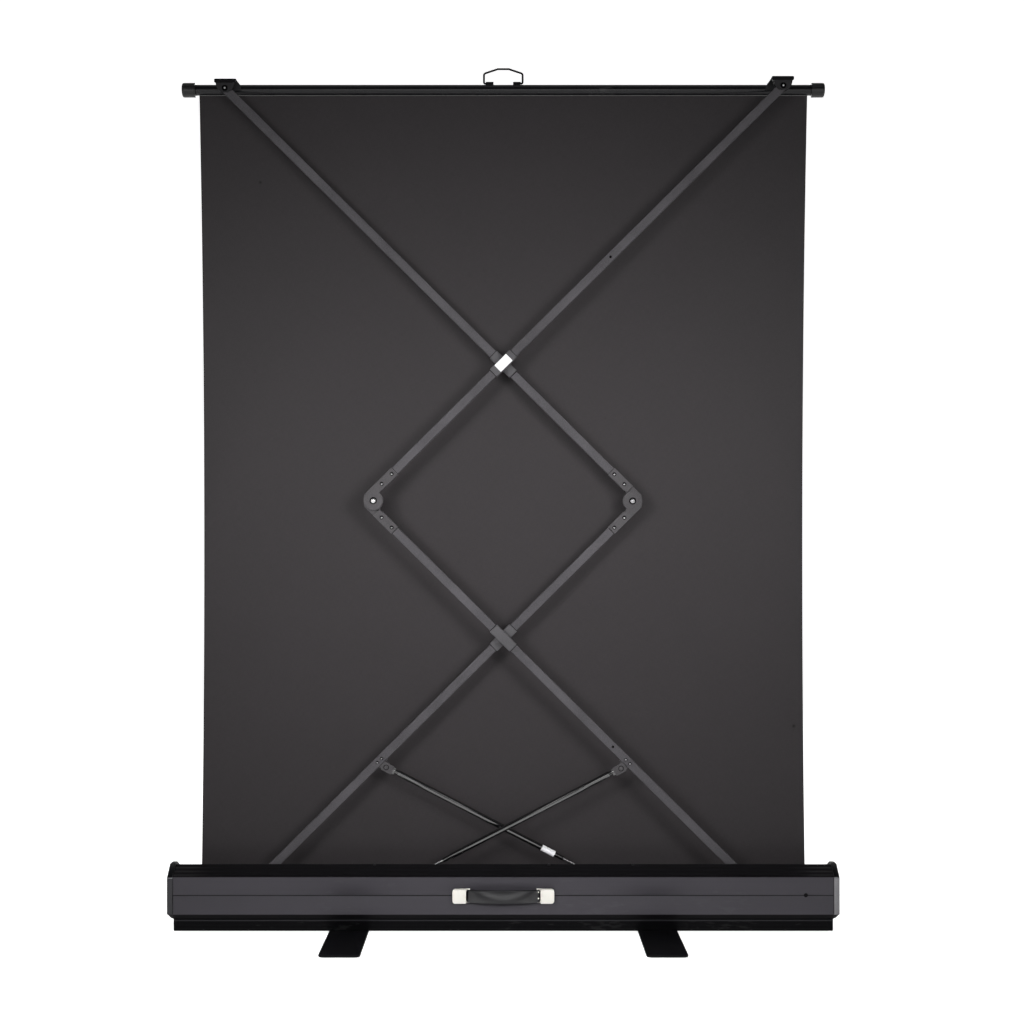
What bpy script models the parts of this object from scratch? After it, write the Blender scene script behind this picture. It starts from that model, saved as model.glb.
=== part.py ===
"""Pull up projection screen, seen from behind at -Y: a floor case with a spring roller,
a two-stage scissor frame that lifts the top tube, and two gas springs that hold it up.
Metres, +Z up. The origin is on the floor under the middle of the case, the audience is at +Y."""

from math import cos, pi, radians, sin

import bmesh
import bpy
from mathutils import Matrix, Vector

# Scissor frame
PIVOT_HALF = 0.578
BASE_PIVOT_Z = 0.030
ARM_REACH = 1.2045
ELBOW_OFFSET = 0.0125
OPEN_ANGLE = radians(44.76)
ARM_HEIGHT = 0.0175
ARM_DEPTH = 0.009
ARM_WALL = 0.0015
LAYER_HALF = 0.0072
FRONT_LAYER_Y = 0.007
REAR_LAYER_Y = -0.011
GAP = 0.0003

# Pivots
PIN_R = 0.0040
PIN_HEAD_R = 0.0062
PIN_HEAD = 0.0012
LUG_HOLE_R = 0.0043
ARM_HOLE_R = 0.0046
CLEVIS_HALF = 0.0048

# Elbow fittings
ELBOW_DISC_R = 0.020
FITTING_LENGTH = 0.0745
FITTING_HEIGHT = 0.020
SHANK_CLEAR = 0.0215
FITTING_CORNER = 0.004
SOCKET_DEPTH = 0.0445
LAP_GAP = 0.0005

# Sliding sleeves at the two crossings
SLEEVE_LENGTH = 0.058
SLEEVE_HEIGHT = 0.0215
SLEEVE_BOSS_R = 0.0095
SLEEVE_BOSS = 0.0013

# Gas springs
LUG_ALONG = 0.452
LUG_DROP = 0.020
LUG_R = 0.0078
LUG_HALF_WIDTH = 0.0085
LUG_TAB_HALF = 0.0125
EYE_R = 0.0065
EYE_HALF = 0.0040
END_BLOCK = 0.020
CYLINDER_START = 0.026
CYLINDER_LENGTH = 0.370
CYLINDER_R = 0.0062
CYLINDER_WALL = 0.0014
COLLAR_LENGTH = 0.018
COLLAR_R = 0.0046
ROD_R = 0.0029
ROD_INSIDE = 0.148
SPRING_BASE_X = 0.356
SPRING_BASE_Z = 0.023

# Case
CASE_HALF = 0.674
CAP_OUT = 0.686
WALL = 0.002
REAR_Y = -0.060
AUDIENCE_Y = 0.066
FACE_LOW_Z = 0.042
FACE_HIGH_Z = 0.119
REAR_RIM_Y = -0.025
REAR_RIM_Z = 0.138
AUDIENCE_RIM_Y = 0.0575
AUDIENCE_SHOULDER_Z = 0.103
AUDIENCE_RIM_Z = 0.114
SKIRT_TOP_Z = 0.0305
CASE_FLOOR_Z = 0.0085
SKIRT_REAR_Y = -0.050
SKIRT_AUDIENCE_Y = 0.056
GROOVE_Z = 0.081
RIB_COUNT = 3
CAP_PROUD = 0.0008
CAP_TOP_Z = 0.1412
RAIL_WALL = 0.0015
RAIL_LOW_Z = 0.0066
RAIL_HIGH_Z = 0.0292
RAIL_HALF = 0.673

# Roller and cloth
ROLLER_Y = 0.036
ROLLER_Z = 0.033
ROLLER_R = 0.015
ROLLER_WALL = 0.0015
ROLLER_HALF = 0.640
WRAP_TURNS = 2
WRAP_PITCH = 0.0009
FABRIC_WIDTH = 1.274
FABRIC_THICK = 0.0005
FABRIC_WAIST = 0.0078
FABRIC_LOW_Z = 0.0345
FABRIC_STEPS = 16
SPRING_TURNS = 14
SPRING_COIL_R = 0.0098
SPRING_WIRE_R = 0.0011
SPRING_FROM_X = 0.455
SPRING_TO_X = 0.606

# Top tube
TUBE_R = 0.011
TUBE_WALL = 0.0018
TUBE_HALF = 0.660
TUBE_Y = 0.033
TUBE_ABOVE_PIVOT = 0.0048
TUBE_CAP_R = 0.015
TUBE_CAP_IN = 0.6435
TUBE_CAP_OUT = 0.6722

# Top brackets
FLANGE_TOP = 0.0190
FLANGE_THICK = 0.0024
FLANGE_PROUD = 0.0010
FLANGE_OUT = 0.0222
FLANGE_IN = 0.0240
LOBE_R = 0.0190
LOBE_UP = 0.0098
LIP_THICK = 0.0024

# Bail
BAIL_WIRE_R = 0.0016
BAIL_HALF = 0.0405
BAIL_SHOULDER = 0.0200
BAIL_TOP = 0.0305
BAIL_TOP_HALF = 0.0120
BAIL_AXIS_ABOVE_TUBE = 0.0028
CLIP_IN = 0.0205
CLIP_OUT = 0.0365

# Carry handle on the rear face
HANDLE_Z = 0.081
CLIP_INNER_X = 0.0755
CLIP_OUTER_X = 0.1035
CLIP_PLATE_X = 0.0680
CLIP_HALF_Z = 0.0145
CLIP_PROUD = 0.0125
CLIP_PLATE = 0.0020
GRIP_HALF_X = 0.0740
GRIP_HALF_Z = 0.0130
GRIP_THICK = 0.0045
GRIP_BOW = 0.0090
TONGUE_END_X = 0.0930

# Feet
FOOT_X = 0.316
FOOT_HALF_X = 0.0405
FOOT_HALF_Y = 0.248
FOOT_CORNER = 0.010
FOOT_LOW_Z = 0.0015
FOOT_HIGH_Z = 0.0060
PAD_THICK = 0.0012
PAD_Y = 0.223
FOOT_BOLT_R = 0.0048
FOOT_HOLE_R = 0.0053

ROUND_STEPS = 32
SMALL_STEPS = 20

ELBOW_X = -PIVOT_HALF + ARM_REACH * cos(OPEN_ANGLE) - ELBOW_OFFSET * sin(OPEN_ANGLE)
ELBOW_Z = BASE_PIVOT_Z + ARM_REACH * sin(OPEN_ANGLE) + ELBOW_OFFSET * cos(OPEN_ANGLE)
TOP_PIVOT_Z = 2 * ELBOW_Z - BASE_PIVOT_Z
CROSSING_ALONG = PIVOT_HALF / cos(OPEN_ANGLE)
TUBE_Z = TOP_PIVOT_Z + TUBE_ABOVE_PIVOT
BAIL_AXIS_Z = TUBE_Z + TUBE_R + BAIL_AXIS_ABOVE_TUBE


def finish(name, colour, roughness, metallic=0.0):
    """A Principled material of one colour."""
    made = bpy.data.materials.new(name)
    made.use_nodes = True
    shader = made.node_tree.nodes["Principled BSDF"]
    shader.inputs["Base Color"].default_value = (*colour, 1.0)
    shader.inputs["Roughness"].default_value = roughness
    shader.inputs["Metallic"].default_value = metallic
    return made


def joint_empty(name, x, y, z):
    """An empty on a joint's axis. The pieces of that moving body are its children."""
    empty = bpy.data.objects.new(name, None)
    empty.empty_display_size = 0.03
    empty.location = (x, y, z)
    bpy.context.scene.collection.objects.link(empty)
    return empty


def piece(name, bm, body, paint, hidden=False):
    """A bmesh in world coordinates as a named object whose origin is on its body's joint axis."""
    bmesh.ops.recalc_face_normals(bm, faces=bm.faces)
    if bm.calc_volume(signed=True) < 0:
        bmesh.ops.reverse_faces(bm, faces=bm.faces)
    bmesh.ops.translate(bm, verts=bm.verts, vec=-Vector(body.location))
    mesh = bpy.data.meshes.new(name)
    bm.to_mesh(mesh)
    bm.free()
    mesh.shade_smooth()
    mesh.set_sharp_from_angle(angle=radians(30))
    made = bpy.data.objects.new(name, mesh)
    bpy.context.scene.collection.objects.link(made)
    made.parent = body
    if hidden:
        made.hide_render = True
        made.display_type = "WIRE"
    else:
        mesh.materials.append(paint)
    return made


def soften(target, width, segments=1, angle=40.0):
    """A bevel on the sharp edges of a piece."""
    bevel = target.modifiers.new("soften", "BEVEL")
    bevel.width = width
    bevel.segments = segments
    bevel.limit_method = "ANGLE"
    bevel.angle_limit = radians(angle)


def shape_by(target, operation, bm, label):
    """A Boolean with a helper solid that is itself left out of the model."""
    helper = piece(f"{target.name}_{label}", bm, target.parent, None, hidden=True)
    boolean = target.modifiers.new(label, "BOOLEAN")
    boolean.operation = operation
    boolean.solver = "EXACT"
    boolean.object = helper


def cut(target, bm, label):
    shape_by(target, "DIFFERENCE", bm, label)


def join(target, bm, label):
    shape_by(target, "UNION", bm, label)


def prism(points, axis, low, high, where=None):
    """A flat outline pushed along X, Y or Z. The outline's two coordinates are the other two axes."""
    bm = bmesh.new()
    order = {"X": (2, 0, 1), "Y": (0, 2, 1), "Z": (0, 1, 2)}[axis]
    corners = []
    for a, b in points:
        values = (a, b, low)
        corners.append(bm.verts.new([values[order[i]] for i in range(3)]))
    base = bm.faces.new(corners)
    grown = bmesh.ops.extrude_face_region(bm, geom=[base])
    top = [item for item in grown["geom"] if isinstance(item, bmesh.types.BMVert)]
    step = {"X": Vector((1, 0, 0)), "Y": Vector((0, 1, 0)), "Z": Vector((0, 0, 1))}[axis]
    bmesh.ops.translate(bm, verts=top, vec=step * (high - low))
    return placed(bm, where)


def placed(bm, where):
    if where is not None:
        bmesh.ops.transform(bm, matrix=where, verts=bm.verts)
    return bm


def block(x, y, z, where=None):
    """A box between two values on each axis."""
    return prism([(x[0], z[0]), (x[1], z[0]), (x[1], z[1]), (x[0], z[1])], "Y", y[0], y[1], where)


def turned(profile, centre, axis, steps=SMALL_STEPS, where=None):
    """A solid of revolution. The profile is a list of (radius, distance along the axis)."""
    bm = bmesh.new()
    verts = [bm.verts.new((radius, 0, along)) for radius, along in profile]
    edges = [bm.edges.new(pair) for pair in zip(verts, verts[1:])]
    if profile[0][0] > 0:
        edges.append(bm.edges.new((verts[-1], verts[0])))
    bmesh.ops.spin(
        bm, geom=verts + edges, cent=(0, 0, 0), axis=(0, 0, 1), angle=2 * pi, steps=steps
    )
    bmesh.ops.remove_doubles(bm, verts=bm.verts, dist=1e-6)
    bmesh.ops.recalc_face_normals(bm, faces=bm.faces)
    turn = Vector((0, 0, 1)).rotation_difference(Vector(axis)).to_matrix().to_4x4()
    bmesh.ops.transform(bm, matrix=Matrix.Translation(centre) @ turn, verts=bm.verts)
    return placed(bm, where)


def rod_along(radius, centre, axis, low, high, steps=SMALL_STEPS, where=None):
    """A plain round bar between two distances along its axis."""
    return turned([(0, low), (radius, low), (radius, high), (0, high)], centre, axis, steps, where)


def arc(centre, radius, start, end, steps):
    """Points on an arc, angles in degrees."""
    points = []
    for i in range(steps + 1):
        angle = radians(start + (end - start) * i / steps)
        points.append((centre[0] + radius * cos(angle), centre[1] + radius * sin(angle)))
    return points


def rounded_box(half_a, half_b, radius, centre=(0, 0), steps=4):
    """The outline of a rectangle with round corners."""
    points = []
    corners = ((1, 1, 0), (-1, 1, 90), (-1, -1, 180), (1, -1, 270))
    for side_a, side_b, start in corners:
        middle = (centre[0] + side_a * (half_a - radius), centre[1] + side_b * (half_b - radius))
        points += arc(middle, radius, start, start + 90, steps)
    return points


def member_frame(x, z, direction, flip):
    """Matrix from a member's own axes to the world: along it, depth, and across it."""
    along = Vector((cos(direction), 0, sin(direction)))
    across = flip * Vector((-sin(direction), 0, cos(direction)))
    matrix = Matrix((along, (0, 1, 0), across)).transposed().to_4x4()
    return Matrix.Translation((x, 0, z)) @ matrix


class Member:
    """One arm of the scissor frame: its frame starts at its end pivot, with the elbow across it."""

    def __init__(self, side, level):
        upper = level == "upper"
        self.name = f"{level}_arm_{side}"
        self.side = side
        self.level = level
        self.other = "right" if side == "left" else "left"
        self.depth = FRONT_LAYER_Y if side == "left" else REAR_LAYER_Y
        start_x = -PIVOT_HALF if side == "left" else PIVOT_HALF
        start_z = TOP_PIVOT_Z if upper else BASE_PIVOT_Z
        rise = -OPEN_ANGLE if upper else OPEN_ANGLE
        direction = rise if side == "left" else pi - rise
        flip = 1 if upper != (side == "left") else -1
        self.where = member_frame(start_x, start_z, direction, flip)
        elbow = self.where @ Vector((ARM_REACH, 0, ELBOW_OFFSET))
        pivot = elbow if upper else Vector((start_x, 0, start_z))
        self.body = joint_empty(f"{self.name}_pivot", pivot.x, self.depth, pivot.z)
        crossing = self.where @ Vector((CROSSING_ALONG, 0, 0))
        self.slider = joint_empty(f"{level}_sleeve_{side}_slide", crossing.x, self.depth, crossing.z)


def arm(member):
    """Square tube with a round pivot end. The other end is open, inside the elbow fitting."""
    half = ARM_HEIGHT / 2
    end = ARM_REACH - FITTING_LENGTH + SOCKET_DEPTH - 0.001
    outline = [(end, -half), (end, half)] + arc((0, 0), half, 90, 270, 12)
    depth = (member.depth - ARM_DEPTH / 2, member.depth + ARM_DEPTH / 2)
    made = piece(
        member.name, prism(outline, "Y", depth[0], depth[1], member.where), member.body, ARM_PAINT
    )
    soften(made, 0.0012)
    hollow = block(
        (0.018, end + 0.01),
        (depth[0] + ARM_WALL, depth[1] - ARM_WALL),
        (-half + ARM_WALL, half - ARM_WALL),
        member.where,
    )
    cut(made, hollow, "hollow")
    hole = rod_along(
        ARM_HOLE_R, (0, member.depth, 0), (0, 1, 0), -0.01, 0.01, where=member.where
    )
    cut(made, hole, "pivot_hole")


def elbow_fitting(member):
    """Half-lap elbow end: a shank over the arm's end and a disc that is half the shank's depth."""
    camera_side = member.level == ("upper" if member.side == "right" else "lower")
    middle = member.depth
    if camera_side:
        lap = (middle - LAYER_HALF, middle - LAP_GAP / 2)
    else:
        lap = (middle + LAP_GAP / 2, middle + LAYER_HALF)
    half = FITTING_HEIGHT / 2
    corner = (ARM_REACH + FITTING_CORNER, -half)
    pivot = (ARM_REACH, ELBOW_OFFSET)
    outline = [(ARM_REACH - FITTING_LENGTH, -half), corner]
    outline += arc(pivot, ELBOW_DISC_R, -50, 186, 24)
    outline.append((ARM_REACH - SHANK_CLEAR - 0.0045, half - 0.0022))
    outline.append((ARM_REACH - SHANK_CLEAR - 0.0075, half))
    outline.append((ARM_REACH - FITTING_LENGTH, half))
    elbow = "right" if member.side == "left" else "left"
    whole = prism(outline, "Y", middle - LAYER_HALF, middle + LAYER_HALF, member.where)
    made = piece(f"{member.level}_elbow_{elbow}", whole, member.body, ELBOW_PAINT)
    off = (lap[1], middle + 0.02) if camera_side else (middle - 0.02, lap[0])
    clear = block((ARM_REACH - SHANK_CLEAR, ARM_REACH + 0.04), off, (-0.03, 0.05), member.where)
    cut(made, clear, "half_lap")
    soften(made, 0.0007, 1, 50)
    socket = block(
        (ARM_REACH - FITTING_LENGTH - 0.01, ARM_REACH - FITTING_LENGTH + SOCKET_DEPTH),
        (middle - ARM_DEPTH / 2 - GAP, middle + ARM_DEPTH / 2 + GAP),
        (-ARM_HEIGHT / 2 - GAP, ARM_HEIGHT / 2 + GAP),
        member.where,
    )
    cut(made, socket, "socket")
    bore = rod_along(
        LUG_HOLE_R, (pivot[0], middle, pivot[1]), (0, 1, 0), -0.02, 0.02, where=member.where
    )
    cut(made, bore, "bore")


def pivot_pin(name, x, y, z, body, paint):
    """A steel pin with a low round head at both ends, along Y."""
    reach = LAYER_HALF + GAP
    head = [
        (PIN_HEAD_R, reach),
        (PIN_HEAD_R, reach + 0.6 * PIN_HEAD),
        (0.7 * PIN_HEAD_R, reach + PIN_HEAD),
        (0, reach + PIN_HEAD),
    ]
    far = [(PIN_R, reach)] + head
    near = [(radius, -along) for radius, along in reversed(far)]
    piece(name, turned(near + far, (x, y, z), (0, 1, 0)), body, paint)


def sleeve(member):
    """Moulded sleeve that slides on its arm. A low boss faces the sleeve of the crossing arm."""
    half = SLEEVE_LENGTH / 2
    middle = member.depth
    body = block(
        (CROSSING_ALONG - half, CROSSING_ALONG + half),
        (middle - LAYER_HALF, middle + LAYER_HALF),
        (-SLEEVE_HEIGHT / 2, SLEEVE_HEIGHT / 2),
        member.where,
    )
    made = piece(f"{member.level}_sleeve_{member.side}", body, member.slider, SLEEVE_PLASTIC)
    soften(made, 0.0012, 2)
    facing = -1 if member.side == "left" else 1
    boss = rod_along(
        SLEEVE_BOSS_R,
        (CROSSING_ALONG, middle, 0),
        (0, facing, 0),
        LAYER_HALF - 0.001,
        LAYER_HALF + SLEEVE_BOSS,
        ROUND_STEPS,
        member.where,
    )
    join(made, boss, "boss")
    bore = block(
        (CROSSING_ALONG - SLEEVE_LENGTH, CROSSING_ALONG + SLEEVE_LENGTH),
        (middle - ARM_DEPTH / 2 - GAP, middle + ARM_DEPTH / 2 + GAP),
        (-ARM_HEIGHT / 2 - GAP, ARM_HEIGHT / 2 + GAP),
        member.where,
    )
    cut(made, bore, "bore")


def spring_lug(member):
    """Clevis under the lower arm with a tab behind it. Its pin carries the gas spring's end block."""
    middle = member.depth
    top = -ARM_HEIGHT / 2 - 0.0005
    pivot = (LUG_ALONG, -LUG_DROP)
    outline = [(LUG_ALONG + LUG_HALF_WIDTH, top), (LUG_ALONG - LUG_HALF_WIDTH, top)]
    outline += arc(pivot, LUG_R, 180, 360, 14)
    clevis = prism(outline, "Y", middle - LAYER_HALF, middle + LAYER_HALF, member.where)
    made = piece(f"spring_lug_{member.side}", clevis, member.body, ELBOW_PAINT)
    slot = block(
        (LUG_ALONG - 0.02, LUG_ALONG + 0.02),
        (middle - EYE_HALF - GAP, middle + EYE_HALF + GAP),
        (-LUG_DROP - 0.02, -LUG_DROP + EYE_R + 0.0006),
        member.where,
    )
    cut(made, slot, "slot")
    tab = block(
        (LUG_ALONG - LUG_TAB_HALF, LUG_ALONG + LUG_TAB_HALF),
        (middle + ARM_DEPTH / 2 + GAP, middle + LAYER_HALF),
        (top - 0.002, ARM_HEIGHT / 2 - 0.003),
        member.where,
    )
    join(made, tab, "tab")
    pin = rod_along(
        PIN_R - 0.0004,
        (LUG_ALONG, middle, -LUG_DROP),
        (0, 1, 0),
        -LAYER_HALF + 0.0005,
        LAYER_HALF - 0.0005,
        where=member.where,
    )
    join(made, pin, "pin")


class GasSpring:
    """One gas spring, from the lug on its lower arm to its anchor on the case floor."""

    def __init__(self, member):
        lug = member.where @ Vector((LUG_ALONG, 0, -LUG_DROP))
        sign = 1 if member.side == "left" else -1
        base = Vector((sign * SPRING_BASE_X, 0, SPRING_BASE_Z))
        run = base - lug
        self.side = member.side
        self.depth = member.depth
        self.length = run.length
        along = run.normalized()
        across = Vector((-along.z, 0, along.x)) * sign
        matrix = Matrix((along, (0, 1, 0), across)).transposed().to_4x4()
        self.where = Matrix.Translation(lug) @ matrix
        self.body = joint_empty(f"gas_cylinder_{self.side}_pivot", lug.x, self.depth, lug.z)
        self.rod_body = joint_empty(f"gas_rod_{self.side}_slide", base.x, self.depth, base.z)


def eye_block(spring, start, end):
    """A flat end block with a round eye at one end, as an outline along the spring."""
    centre = (start, 0)
    facing = 1 if end > start else -1
    turn = (90, 270) if facing > 0 else (-90, 90)
    outline = arc(centre, EYE_R, turn[0], turn[1], 12)
    outline += [(end, -facing * EYE_R), (end, facing * EYE_R)]
    return prism(outline, "Y", spring.depth - EYE_HALF, spring.depth + EYE_HALF, spring.where)


def gas_cylinder(spring):
    """Cylinder with a closed end at the lug, an end block there and a guide collar for the rod."""
    end = CYLINDER_START + CYLINDER_LENGTH
    inner = CYLINDER_R - CYLINDER_WALL
    profile = [
        (0, END_BLOCK - 0.001),
        (0.0042, END_BLOCK - 0.001),
        (0.0042, CYLINDER_START),
        (CYLINDER_R - 0.001, CYLINDER_START),
        (CYLINDER_R, CYLINDER_START + 0.001),
        (CYLINDER_R, end - 0.0015),
        (COLLAR_R, end),
        (COLLAR_R, end + COLLAR_LENGTH - 0.001),
        (COLLAR_R - 0.0008, end + COLLAR_LENGTH),
        (ROD_R + GAP, end + COLLAR_LENGTH),
        (ROD_R + GAP, end - 0.010),
        (inner, end - 0.012),
        (inner, CYLINDER_START + 0.004),
        (0, CYLINDER_START + 0.004),
    ]
    shell = turned(profile, (0, spring.depth, 0), (1, 0, 0), ROUND_STEPS - 8, spring.where)
    made = piece(f"gas_cylinder_{spring.side}", shell, spring.body, GLOSS_BLACK)
    join(made, eye_block(spring, 0, END_BLOCK), "end_block")
    eye = rod_along(
        PIN_R, (0, spring.depth, 0), (0, 1, 0), -0.01, 0.01, where=spring.where
    )
    cut(made, eye, "eye")


def gas_rod(spring):
    """Plated rod with its piston inside the cylinder and an eye fitting on the case floor."""
    start = CYLINDER_START + CYLINDER_LENGTH - ROD_INSIDE
    piston_r = CYLINDER_R - CYLINDER_WALL - GAP
    neck = spring.length - 0.016
    profile = [
        (0, start),
        (piston_r, start),
        (piston_r, start + 0.008),
        (ROD_R, start + 0.009),
        (ROD_R, neck - 0.012),
        (0.0040, neck - 0.011),
        (0.0040, neck + 0.003),
        (0, neck + 0.003),
    ]
    bar = turned(profile, (0, spring.depth, 0), (1, 0, 0), SMALL_STEPS, spring.where)
    made = piece(f"gas_rod_{spring.side}", bar, spring.rod_body, ROD_STEEL)
    join(made, eye_block(spring, spring.length, neck), "eye_block")
    eye = rod_along(
        PIN_R, (spring.length, spring.depth, 0), (0, 1, 0), -0.01, 0.01, where=spring.where
    )
    cut(made, eye, "eye")


def spring_anchor(spring, case):
    """Angle bracket on the case floor, beside the rod's eye, with the head of its bolt."""
    sign = 1 if spring.side == "left" else -1
    x = sign * SPRING_BASE_X
    floor = CASE_FLOOR_Z + WALL + GAP
    outer = spring.depth - LAYER_HALF - 0.0003
    inner = spring.depth - EYE_HALF - 0.0005
    outline = [(x - 0.011, floor), (x + 0.011, floor)]
    outline += arc((x, SPRING_BASE_Z), 0.0070, 0, 180, 12)
    name = "spring_anchor_right" if sign > 0 else "spring_anchor_left"
    made = piece(name, prism(outline, "Y", outer, inner), case, ZINC)
    foot = block((x - 0.015, x + 0.015), (outer, outer + 0.020), (floor, floor + 0.0024))
    join(made, foot, "foot")
    head = rod_along(0.0050, (x, outer, SPRING_BASE_Z), (0, -1, 0), -0.001, 0.0010)
    join(made, head, "bolt_head")


def base_hinge(member, case):
    """Clevis on the case floor for the lower arm's pivot, with its pin."""
    x = -PIVOT_HALF if member.side == "left" else PIVOT_HALF
    floor = CASE_FLOOR_Z + WALL + GAP
    middle = member.depth
    outline = [(x - 0.018, floor), (x + 0.018, floor), (x + 0.018, floor + 0.0030)]
    outline += arc((x, BASE_PIVOT_Z), 0.0088, -5, 185, 16)
    outline.append((x - 0.018, floor + 0.0030))
    clevis = prism(outline, "Y", middle - LAYER_HALF, middle + LAYER_HALF)
    made = piece(f"base_hinge_{member.side}", clevis, case, ZINC)
    slot = block(
        (x - 0.03, x + 0.03), (middle - CLEVIS_HALF, middle + CLEVIS_HALF), (floor + 0.003, 0.06)
    )
    cut(made, slot, "slot")
    bore = rod_along(LUG_HOLE_R, (x, middle, BASE_PIVOT_Z), (0, 1, 0), -0.02, 0.02)
    cut(made, bore, "bore")
    pivot_pin(f"base_pin_{member.side}", x, middle, BASE_PIVOT_Z, case, ZINC)


def case_outline():
    """Outer outline of the case in (Y, Z), from the rear rim down and round to the audience rim."""
    slope = []
    for i in range(RIB_COUNT):
        share = (i + 0.7) / (RIB_COUNT + 0.4)
        y = REAR_RIM_Y + (REAR_Y - REAR_RIM_Y) * share
        z = REAR_RIM_Z + (FACE_HIGH_Z - REAR_RIM_Z) * share
        slope += [(y + 0.0012, z + 0.0007), (y, z - 0.0006), (y - 0.0012, z - 0.0007)]
    groove = 0.0007
    rear = [
        (REAR_RIM_Y, REAR_RIM_Z),
        *slope,
        (REAR_Y + 0.0012, FACE_HIGH_Z + 0.0006),
        (REAR_Y, FACE_HIGH_Z - 0.0010),
        (REAR_Y, GROOVE_Z + groove),
        (REAR_Y + groove, GROOVE_Z),
        (REAR_Y, GROOVE_Z - groove),
        (REAR_Y, FACE_LOW_Z),
        (SKIRT_REAR_Y, SKIRT_TOP_Z),
        (SKIRT_REAR_Y, CASE_FLOOR_Z),
    ]
    audience = [
        (SKIRT_AUDIENCE_Y, CASE_FLOOR_Z),
        (SKIRT_AUDIENCE_Y, SKIRT_TOP_Z),
        (AUDIENCE_Y, FACE_LOW_Z),
        (AUDIENCE_Y, GROOVE_Z - groove),
        (AUDIENCE_Y - groove, GROOVE_Z),
        (AUDIENCE_Y, GROOVE_Z + groove),
        (AUDIENCE_Y, AUDIENCE_SHOULDER_Z),
        (AUDIENCE_RIM_Y, AUDIENCE_RIM_Z),
    ]
    return rear, audience


def case_channel(case):
    """Aluminium extrusion, open at the top, with a foot bolt hole at each foot."""
    rear, audience = case_outline()
    inner_slope_z = FACE_HIGH_Z - WALL
    inner = [
        (AUDIENCE_RIM_Y - WALL, AUDIENCE_RIM_Z - 0.0012),
        (AUDIENCE_RIM_Y - WALL, AUDIENCE_RIM_Z - 0.0050),
        (AUDIENCE_Y - WALL, AUDIENCE_SHOULDER_Z - 0.0020),
        (AUDIENCE_Y - WALL, FACE_LOW_Z + 0.0008),
        (SKIRT_AUDIENCE_Y - WALL, SKIRT_TOP_Z + 0.0008),
        (SKIRT_AUDIENCE_Y - WALL, CASE_FLOOR_Z + WALL),
        (SKIRT_REAR_Y + WALL, CASE_FLOOR_Z + WALL),
        (SKIRT_REAR_Y + WALL, SKIRT_TOP_Z + 0.0008),
        (REAR_Y + WALL, FACE_LOW_Z + 0.0008),
        (REAR_Y + WALL, inner_slope_z - 0.0010),
        (REAR_RIM_Y + 0.0002, REAR_RIM_Z - 0.0046),
        (REAR_RIM_Y + 0.0024, REAR_RIM_Z - 0.0030),
        (REAR_RIM_Y + 0.0020, REAR_RIM_Z - 0.0003),
    ]
    shell = prism(rear + audience + inner, "X", -CASE_HALF, CASE_HALF)
    made = piece("case_channel", shell, case, CASE_PAINT)
    for side in (-1, 1):
        hole = rod_along(
            FOOT_HOLE_R, (side * FOOT_X, 0, CASE_FLOOR_Z), (0, 0, 1), -0.003, 0.005
        )
        cut(made, hole, f"bolt_hole_{'left' if side < 0 else 'right'}")


def base_rail(case):
    """Folded rail that wraps the foot of the case, with a thin bead along both top edges."""
    rear, front = SKIRT_REAR_Y - 0.0004, SKIRT_AUDIENCE_Y + 0.0004
    top, low = RAIL_HIGH_Z, RAIL_LOW_Z
    bead = 0.0008
    outline = [
        (rear, top),
        (rear - RAIL_WALL - bead, top),
        (rear - RAIL_WALL - bead, top - 0.0014),
        (rear - RAIL_WALL, top - 0.0022),
        (rear - RAIL_WALL, low + 0.0010),
        (rear - RAIL_WALL + 0.0010, low),
        (front + RAIL_WALL - 0.0010, low),
        (front + RAIL_WALL, low + 0.0010),
        (front + RAIL_WALL, top - 0.0022),
        (front + RAIL_WALL + bead, top - 0.0014),
        (front + RAIL_WALL + bead, top),
        (front, top),
        (front, low + RAIL_WALL),
        (rear, low + RAIL_WALL),
    ]
    made = piece("base_rail", prism(outline, "X", -RAIL_HALF, RAIL_HALF), case, RAIL_PAINT)
    for side in (-1, 1):
        hole = rod_along(FOOT_HOLE_R, (side * FOOT_X, 0, low), (0, 0, 1), -0.003, 0.005)
        cut(made, hole, f"bolt_hole_{'left' if side < 0 else 'right'}")


def cap_section(inset, low_z):
    """Outline of an end cap in (Y, Z) at one distance from the case, drawn in by inset."""
    rear = REAR_Y - CAP_PROUD + inset
    front = AUDIENCE_Y + CAP_PROUD - inset
    high = -inset
    chamfer_z = max(FACE_LOW_Z, low_z + 0.0008)
    return [
        (SKIRT_REAR_Y + 0.004, low_z),
        (SKIRT_AUDIENCE_Y - 0.004, low_z),
        (front, chamfer_z),
        (front, AUDIENCE_SHOULDER_Z + CAP_PROUD + high),
        (AUDIENCE_RIM_Y, AUDIENCE_RIM_Z + 0.0015 + high),
        (0.020, REAR_RIM_Z - 0.010 + high),
        (-0.010, CAP_TOP_Z + high),
        (REAR_RIM_Y - 0.003, CAP_TOP_Z + high),
        (rear + 0.0010, FACE_HIGH_Z + 0.0012 + high),
        (rear, FACE_HIGH_Z - 0.0010 + high),
        (rear, chamfer_z),
    ]


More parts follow.
